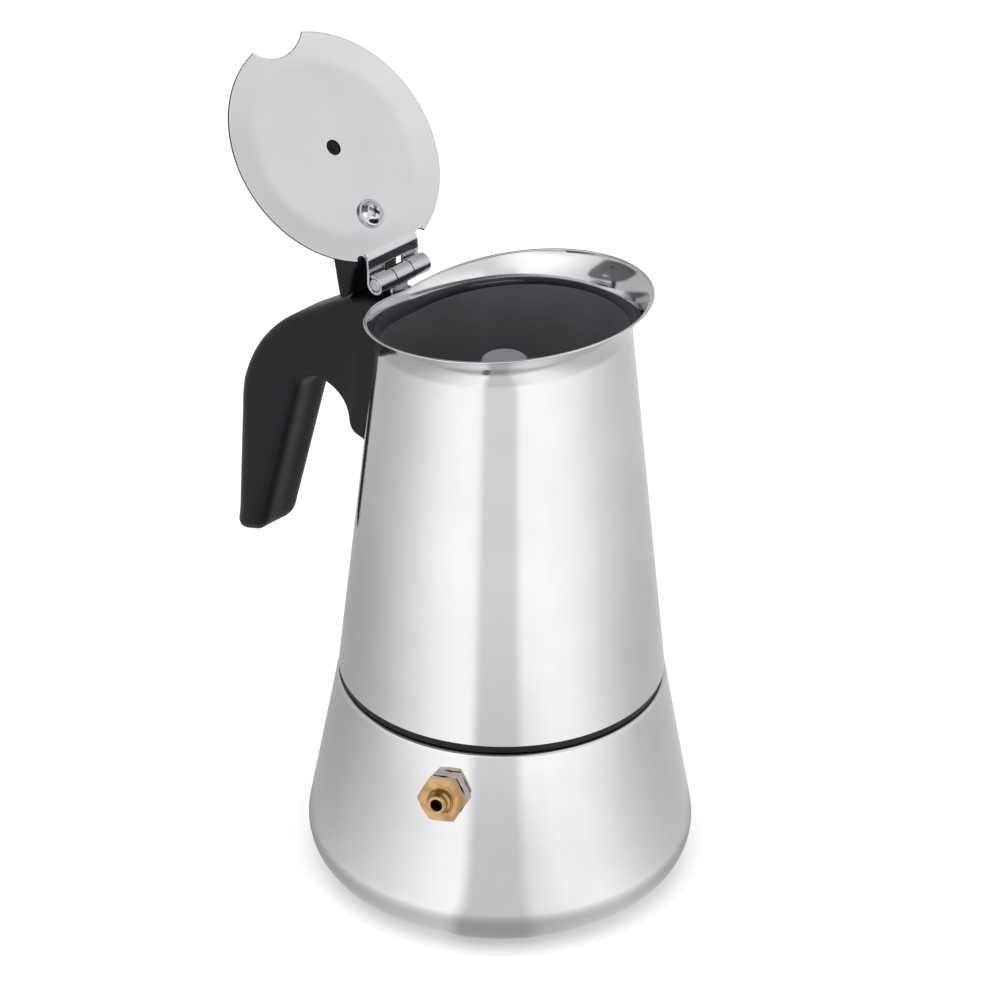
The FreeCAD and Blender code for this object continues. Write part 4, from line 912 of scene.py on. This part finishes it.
def make_lever():
    top = rounded([(3.0, 3.05), (-6, 4.35, 20), (-24.9, 13.0, 60), (-33.0, 17.1)], False, 16, 0.01)
    under = rounded([(3.0, 1.38), (-23.4, 1.38, 2), (-27.8, 1.15, 1), (-30.1, 8.65, 5),
                     (-33.4, 12.4)], False, 10, 0.01)
    pairs = [((3.0, 3.05), (3.0, 1.38)), ((-8, 5.2), (-12, 1.38)), ((-22, 11.8), (-27.5, 1.2)),
             ((-28, 14.6), (-30.1, 8.6)), ((-33.0, 17.1), (-33.4, 12.4))]
    shares = np.linspace(0, len(pairs) - 1, 61)
    far = spaced(top, [a for a, _ in pairs], shares)
    near = spaced(under, [b for _, b in pairs], shares)
    middle = (far[:, 0] + near[:, 0]) / 2
    widths = np.interp(-middle, (-3.0, -1.5, 1, 19.1, 30, 33.4), (3.2, 4.4, 5.0, 7.8, 8.9, 9.0))
    edges = np.interp(shares, (0, 1, 3, 4), (0.6, 1.0, 1.6, 1.4))
    rings = bar_rings(far, near, widths, edges, edges, np.zeros(len(shares)), 0.8)
    tip = rings[-1]
    centre = np.mean(tip, axis=0)
    ahead = centre - np.mean(rings[-3], axis=0)
    ahead /= np.linalg.norm(ahead)
    for turn in np.radians([20, 45, 70, 88]):
        round_off = 1 - math.cos(turn)
        pull = 1 - 0.42 * round_off
        rings.append(centre + (np.asarray(tip) - centre) * [pull, 1 - 0.12 * round_off, pull]
                     + ahead * math.sin(turn))
    lever = skin(rings, round_again=False)
    peg = turned([(0, 0.5), (0.8, 0.5), (0.8, 0.75), (1.9, 0.7, 0.25), (1.9, 2.0), (0, 2.0)],
                 phenolic, 48)
    both = merged([lever, peg])
    both.transform(lid_matrix())
    show(stand("lid_thumb_lever", both, phenolic), "lid", "black_plastic", "lid_lever")


# ---------------------------------------------------------------- safety valve
VALVE_TURN = math.radians(-65.3)
VALVE_HEIGHT = 44.8
HEX_REACH = 6.4


def valve_matrix():
    """Carries a mesh turned about Z out along the valve's axis."""
    tilt = math.atan(BOILER_SLOPE)
    reach = CONE_FOOT - BOILER_SLOPE * VALVE_HEIGHT
    spot = Vector((reach * math.cos(VALVE_TURN), reach * math.sin(VALVE_TURN), VALVE_HEIGHT))
    axis = Vector((math.cos(VALVE_TURN) * math.cos(tilt), math.sin(VALVE_TURN) * math.cos(tilt),
                   math.sin(tilt)))
    side = Vector((-math.sin(VALVE_TURN), math.cos(VALVE_TURN), 0))
    turn = Matrix([side, axis.cross(side), axis]).transposed().to_4x4()
    return Matrix.Translation(spot * MM) @ turn


def hexagon_ring(low, high, bore, turn, chamfer):
    """A hexagon with a bore, its front corners turned down to a circle."""
    count = 72
    flat = HEX_REACH * math.cos(math.pi / 6)
    rings = []
    for k in range(count):
        angle = 2 * math.pi * k / count
        reach = flat / math.cos(angle % (math.pi / 3) - math.pi / 6)
        face = flat - 0.15
        drop = max(0.0, reach - face) * math.tan(math.radians(30)) if chamfer else 0.0
        front = min(reach, face) if chamfer else reach
        loop = [(bore, low), (reach, low), (reach, high - drop), (front, high), (bore, high)]
        c, s = math.cos(angle + turn), math.sin(angle + turn)
        rings.append([(r * c, r * s, z) for r, z in loop])
    return skin(rings)


def make_valve():
    place = valve_matrix()

    def fit(name, mesh, finish, slot, node):
        mesh.transform(place)
        show(stand(name, mesh, finish), "boiler", slot, node)

    shank = 3.95
    fit("valve_bush", hexagon_ring(-1.0, 1.8, shank, 0, False), plain_steel, "plain_steel",
        "valve_boss")
    fit("valve_seal", turned([(shank, 1.8), (5.7, 1.8, 0.15), (5.7, 2.2, 0.15), (shank, 2.2)],
                             black_rubber, 64), black_rubber, "black_silicone", "valve_washer")
    body = turned([
        (2.8, -5), (3.9, -5, 0.3), (3.9, 4.62), (3.3, 4.75, 0.1), (3.05, 4.75, 0.1),
        (3.05, 5.9, 0.4), (2.55, 6.4, 0.2), (2.55, 8.1, 0.5), (1.5, 8.1, 0.3), (1.5, 2.4),
        (2.8, 2.2)], brass, 72)
    # painted shade: the bore of the valve's tube takes the darkened brass
    body.materials.append(painted_shade_brass)
    for face in body.polygons:
        if math.hypot(face.center.x, face.center.y) < 1.52 * MM:
            face.material_index = 1
    nut = hexagon_ring(2.2, 4.6, 3.7, math.radians(4), True)
    whole = merged([body, nut])
    whole.materials.append(brass)
    whole.materials.append(painted_shade_brass)
    fit("valve_brass_body", whole, None, "brass", "valve_body")


def make_plates():
    hole = 0.6
    for name, node, body, pitch in (("filter_disc", "filter_plate", "gasket_seat", 3.8),
                                    ("coffee_plate", "funnel_plate", "funnel", 4.0)):
        low, high = span(node)
        plate = punched((high.x - low.x) / 2, high.z - low.z, hole, pitch, plain_steel)
        plate.transform(Matrix.Translation((0, 0, (low.z + high.z) / 2 * MM)))
        show(stand(name, tidy(plate), plain_steel), body, "plain_steel", node)


def make_spring():
    wire, coil, turns, foot, length = 0.25, 1.9, 5.0, -1.5, 3.4
    outline = [(wire * math.cos(t) * MM, wire * math.sin(t) * MM)
               for t in np.linspace(0, 2 * math.pi, 12, endpoint=False)]
    spring = grown(COIL, outline, True, {
        "Turns": turns, "Coil Radius": coil * MM, "Length": length * MM,
        "Steps Per Turn": 32, "Material": spring_wire})
    spring.transform(Matrix.Translation((0, 0, foot * MM)))
    place = valve_matrix()
    spring.transform(place)
    piece = stand("valve_coil_spring", tidy(spring), spring_wire)
    show(piece, "boiler", "spring_steel", "valve_spring")
    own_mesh(piece)


make_boiler()
make_collector()
make_column()
make_hinge()
make_lid_disc()
make_lid_screw()
make_handle()
make_lever()
make_valve()
make_plates()
make_spring()


# ---------------------------------------------------------------- studio
CAMERA_TURN = math.radians(42.6)


def studio_floor():
    """Pale matt table top, lit a little from below so that shadows on it stay light."""
    material, tree, shader, where = start_material(
        "matt_white_table", {"Roughness": 0.8, "Emission Color": (1, 1, 1, 1),
                             "Emission Strength": 0.22})
    mix = add(tree, "ShaderNodeMix", {"data_type": "RGBA", 6: linear("#F1F1F1"),
                                      7: linear("#EEEEEF")}, {0: pattern(tree, where, 160)})
    tree.links.new(mix.outputs[2], shader.inputs["Base Color"])
    half = 4000.0
    mesh = from_points([(-half, -half, 0), (half, -half, 0), (half, half, 0), (-half, half, 0)],
                       [(0, 1, 2, 3)])
    stand("table_top", mesh, material)


# The tent's cloth is lit by a panel on each side of the camera, which stands in a gap
# between them. A zone of the cloth gives each panel as (angle, spread, light, light of the
# cloth far from it), the gap as (from, to, light), and the light behind the pot. Angles are
# degrees from the camera's side, anticlockwise.
FAR_CLOTH = ((-30, 48, 1.50, 0.64), (28, 56, 1.52, 0.77), (-14, 8, 1.0), 0.80)
# close to the pot its own shade dulls the cloth
NEAR_CLOTH = ((-11, 60, 1.49, 0.49), (38, 36, 1.40, 0.69), (-13, 9, 0.85), 0.70)
# overhead the cloth is nearer the lamps, and its back hangs in shade
OVERHEAD_CLOTH = ((-45, 55, 1.72, 0.50), (72, 48, 1.17, 0.60), (4, 40, 1.03), 0.60)
GAP_EDGE = 6
CLOTH_STEP = 15
# way to the tent's unlit hatch overhead
HATCH_AIM = (0.08, -0.298, 0.951)


def cloth_light(zone):
    """Stops (angle, light) round a zone of the tent's cloth."""
    left, right, (low, high, gap_light), behind = zone

    def lit(degrees):
        middle, spread, light, far_light = left if degrees < 0 else right
        share = math.exp(-((degrees - middle) / spread) ** 2)
        return degrees, far_light + (light - far_light) * share

    round_about = range(CLOTH_STEP - 180, 180, CLOTH_STEP)
    stops = [lit(a) for a in round_about if not low - GAP_EDGE <= a <= high + GAP_EDGE]
    stops += [lit(low - GAP_EDGE), (low, gap_light), (high, gap_light), lit(high + GAP_EDGE)]
    return sorted(stops + [(-180, behind), (180, behind)])


def light_tent():
    """A photographer's light tent, lit from outside: only gloss sees it, so it gives the
    steel its soft bands while the pot stays open to every side."""
    material = bpy.data.materials.new("lit_tent_cloth")
    material.use_nodes = True
    tree = material.node_tree
    tree.nodes.clear()
    where = add(tree, "ShaderNodeTexCoord").outputs["Object"]
    spun = add(tree, "ShaderNodeMapping",
               {"Rotation": (0, 0, math.pi / 2 - CAMERA_TURN)}, {"Vector": where})
    axes = add(tree, "ShaderNodeSeparateXYZ", None, {"Vector": spun.outputs["Vector"]}).outputs
    angle = add(tree, "ShaderNodeMath", {"operation": "ARCTAN2"},
                {0: axes["Y"], 1: axes["X"]}).outputs[0]
    turn = add(tree, "ShaderNodeMapRange",
               {"From Min": -math.pi, "From Max": math.pi, "To Min": 0.0, "To Max": 1.0},
               {"Value": angle}).outputs["Result"]

    zones = []
    for zone in (NEAR_CLOTH, FAR_CLOTH, OVERHEAD_CLOTH):
        ramp = add(tree, "ShaderNodeValToRGB", None, {"Fac": turn})
        stops = cloth_light(zone)
        points = ramp.color_ramp.elements
        while len(points) < len(stops):
            points.new(0.5)
        for point, (degrees, light) in zip(points, stops):
            point.position = degrees / 360 + 0.5
            point.color = (light / 2, light / 2, light / 2, 1)
        zones.append(ramp.outputs["Color"])

    reach = add(tree, "ShaderNodeVectorMath", {"operation": "LENGTH"}, {0: where}).outputs["Value"]
    cloth = zones[0]
    for measure, low, high, beyond in ((reach, 0.16, 0.30, zones[1]),
                                       (axes["Z"], 0.35, 1.1, zones[2])):
        share = add(tree, "ShaderNodeMapRange",
                    {"interpolation_type": "SMOOTHSTEP", "From Min": low, "From Max": high},
                    {"Value": measure}).outputs["Result"]
        cloth = add(tree, "ShaderNodeMix", {"data_type": "RGBA"},
                    {0: share, 6: cloth, 7: beyond}).outputs[2]
    aim = add(tree, "ShaderNodeVectorMath", {"operation": "NORMALIZE"},
              {0: spun.outputs["Vector"]}).outputs["Vector"]
    nearness = add(tree, "ShaderNodeVectorMath", {"operation": "DOT_PRODUCT", 1: HATCH_AIM},
                   {0: aim}).outputs["Value"]
    under_hatch = add(tree, "ShaderNodeMapRange",
                      {"interpolation_type": "SMOOTHSTEP", "From Min": 0.80, "From Max": 0.90,
                       "To Min": 2.0, "To Max": 0.35}, {"Value": nearness}).outputs["Result"]
    foot_shade = add(tree, "ShaderNodeMapRange",
                     {"interpolation_type": "SMOOTHSTEP", "From Min": 0.053, "From Max": 0.074,
                      "To Min": 0.56, "To Max": 1.0}, {"Value": reach}).outputs["Result"]
    strength = add(tree, "ShaderNodeMath", {"operation": "MULTIPLY"},
                   {0: under_hatch, 1: foot_shade}).outputs[0]
    glow = add(tree, "ShaderNodeEmission", None,
               {"Color": cloth, "Strength": strength})
    add(tree, "ShaderNodeOutputMaterial", None, {"Surface": glow.outputs[0]})
    material.cycles.emission_sampling = "NONE"
    mesh = turned([(0, 0.15), (1700, 0.15, 60), (1500, 1500, 500), (0, 1700)], material, 96)
    tent = stand("light_tent", mesh, material)
    for ray in ("camera", "diffuse", "transmission", "volume_scatter", "shadow"):
        setattr(tent, f"visible_{ray}", False)


def studio_light():
    world = bpy.data.worlds.new("white_room")
    bpy.context.scene.world = world
    world.use_nodes = True
    world.node_tree.nodes["Background"].inputs["Color"].default_value = (1, 1, 1, 1)
    world.node_tree.nodes["Background"].inputs["Strength"].default_value = 0.95
    world.cycles_visibility.glossy = False
    lamp = bpy.data.lights.new("overhead_softbox", "AREA")
    lamp.shape = "DISK"
    lamp.size = 1.6
    lamp.energy = 9.0
    overhead = bpy.data.objects.new("overhead_softbox", lamp)
    overhead.location = (0.3, -0.5, 1.6)
    overhead.rotation_euler = (Vector((0, 0, 0.1)) - overhead.location).to_track_quat(
        "-Z", "Y").to_euler()
    overhead.visible_glossy = False
    overhead.visible_camera = False
    bpy.context.scene.collection.objects.link(overhead)


def camera():
    """Looks down on the pot from its front right, through a long lens."""
    up = math.radians(30.59)
    reach = 1.425
    target = Vector((0, 0, 0.095))
    back = Vector((math.sin(CAMERA_TURN) * math.cos(up), -math.cos(CAMERA_TURN) * math.cos(up),
                   math.sin(up)))
    lens = bpy.data.cameras.new("camera")
    lens.lens = 205.83
    lens.sensor_width = 36.0
    lens.shift_x = -0.0127
    lens.shift_y = 0.0484
    lens.clip_end = 20
    eye = bpy.data.objects.new("camera", lens)
    eye.location = target + back * reach
    level = (-back).to_track_quat("-Z", "Y").to_matrix()
    roll = Matrix.Rotation(math.radians(0.60), 3, "Z")
    eye.rotation_euler = (level @ roll).to_euler()
    bpy.context.scene.collection.objects.link(eye)
    bpy.context.scene.camera = eye


studio_floor()
light_tent()
studio_light()
camera()
bpy.context.scene.view_settings.view_transform = "Standard"
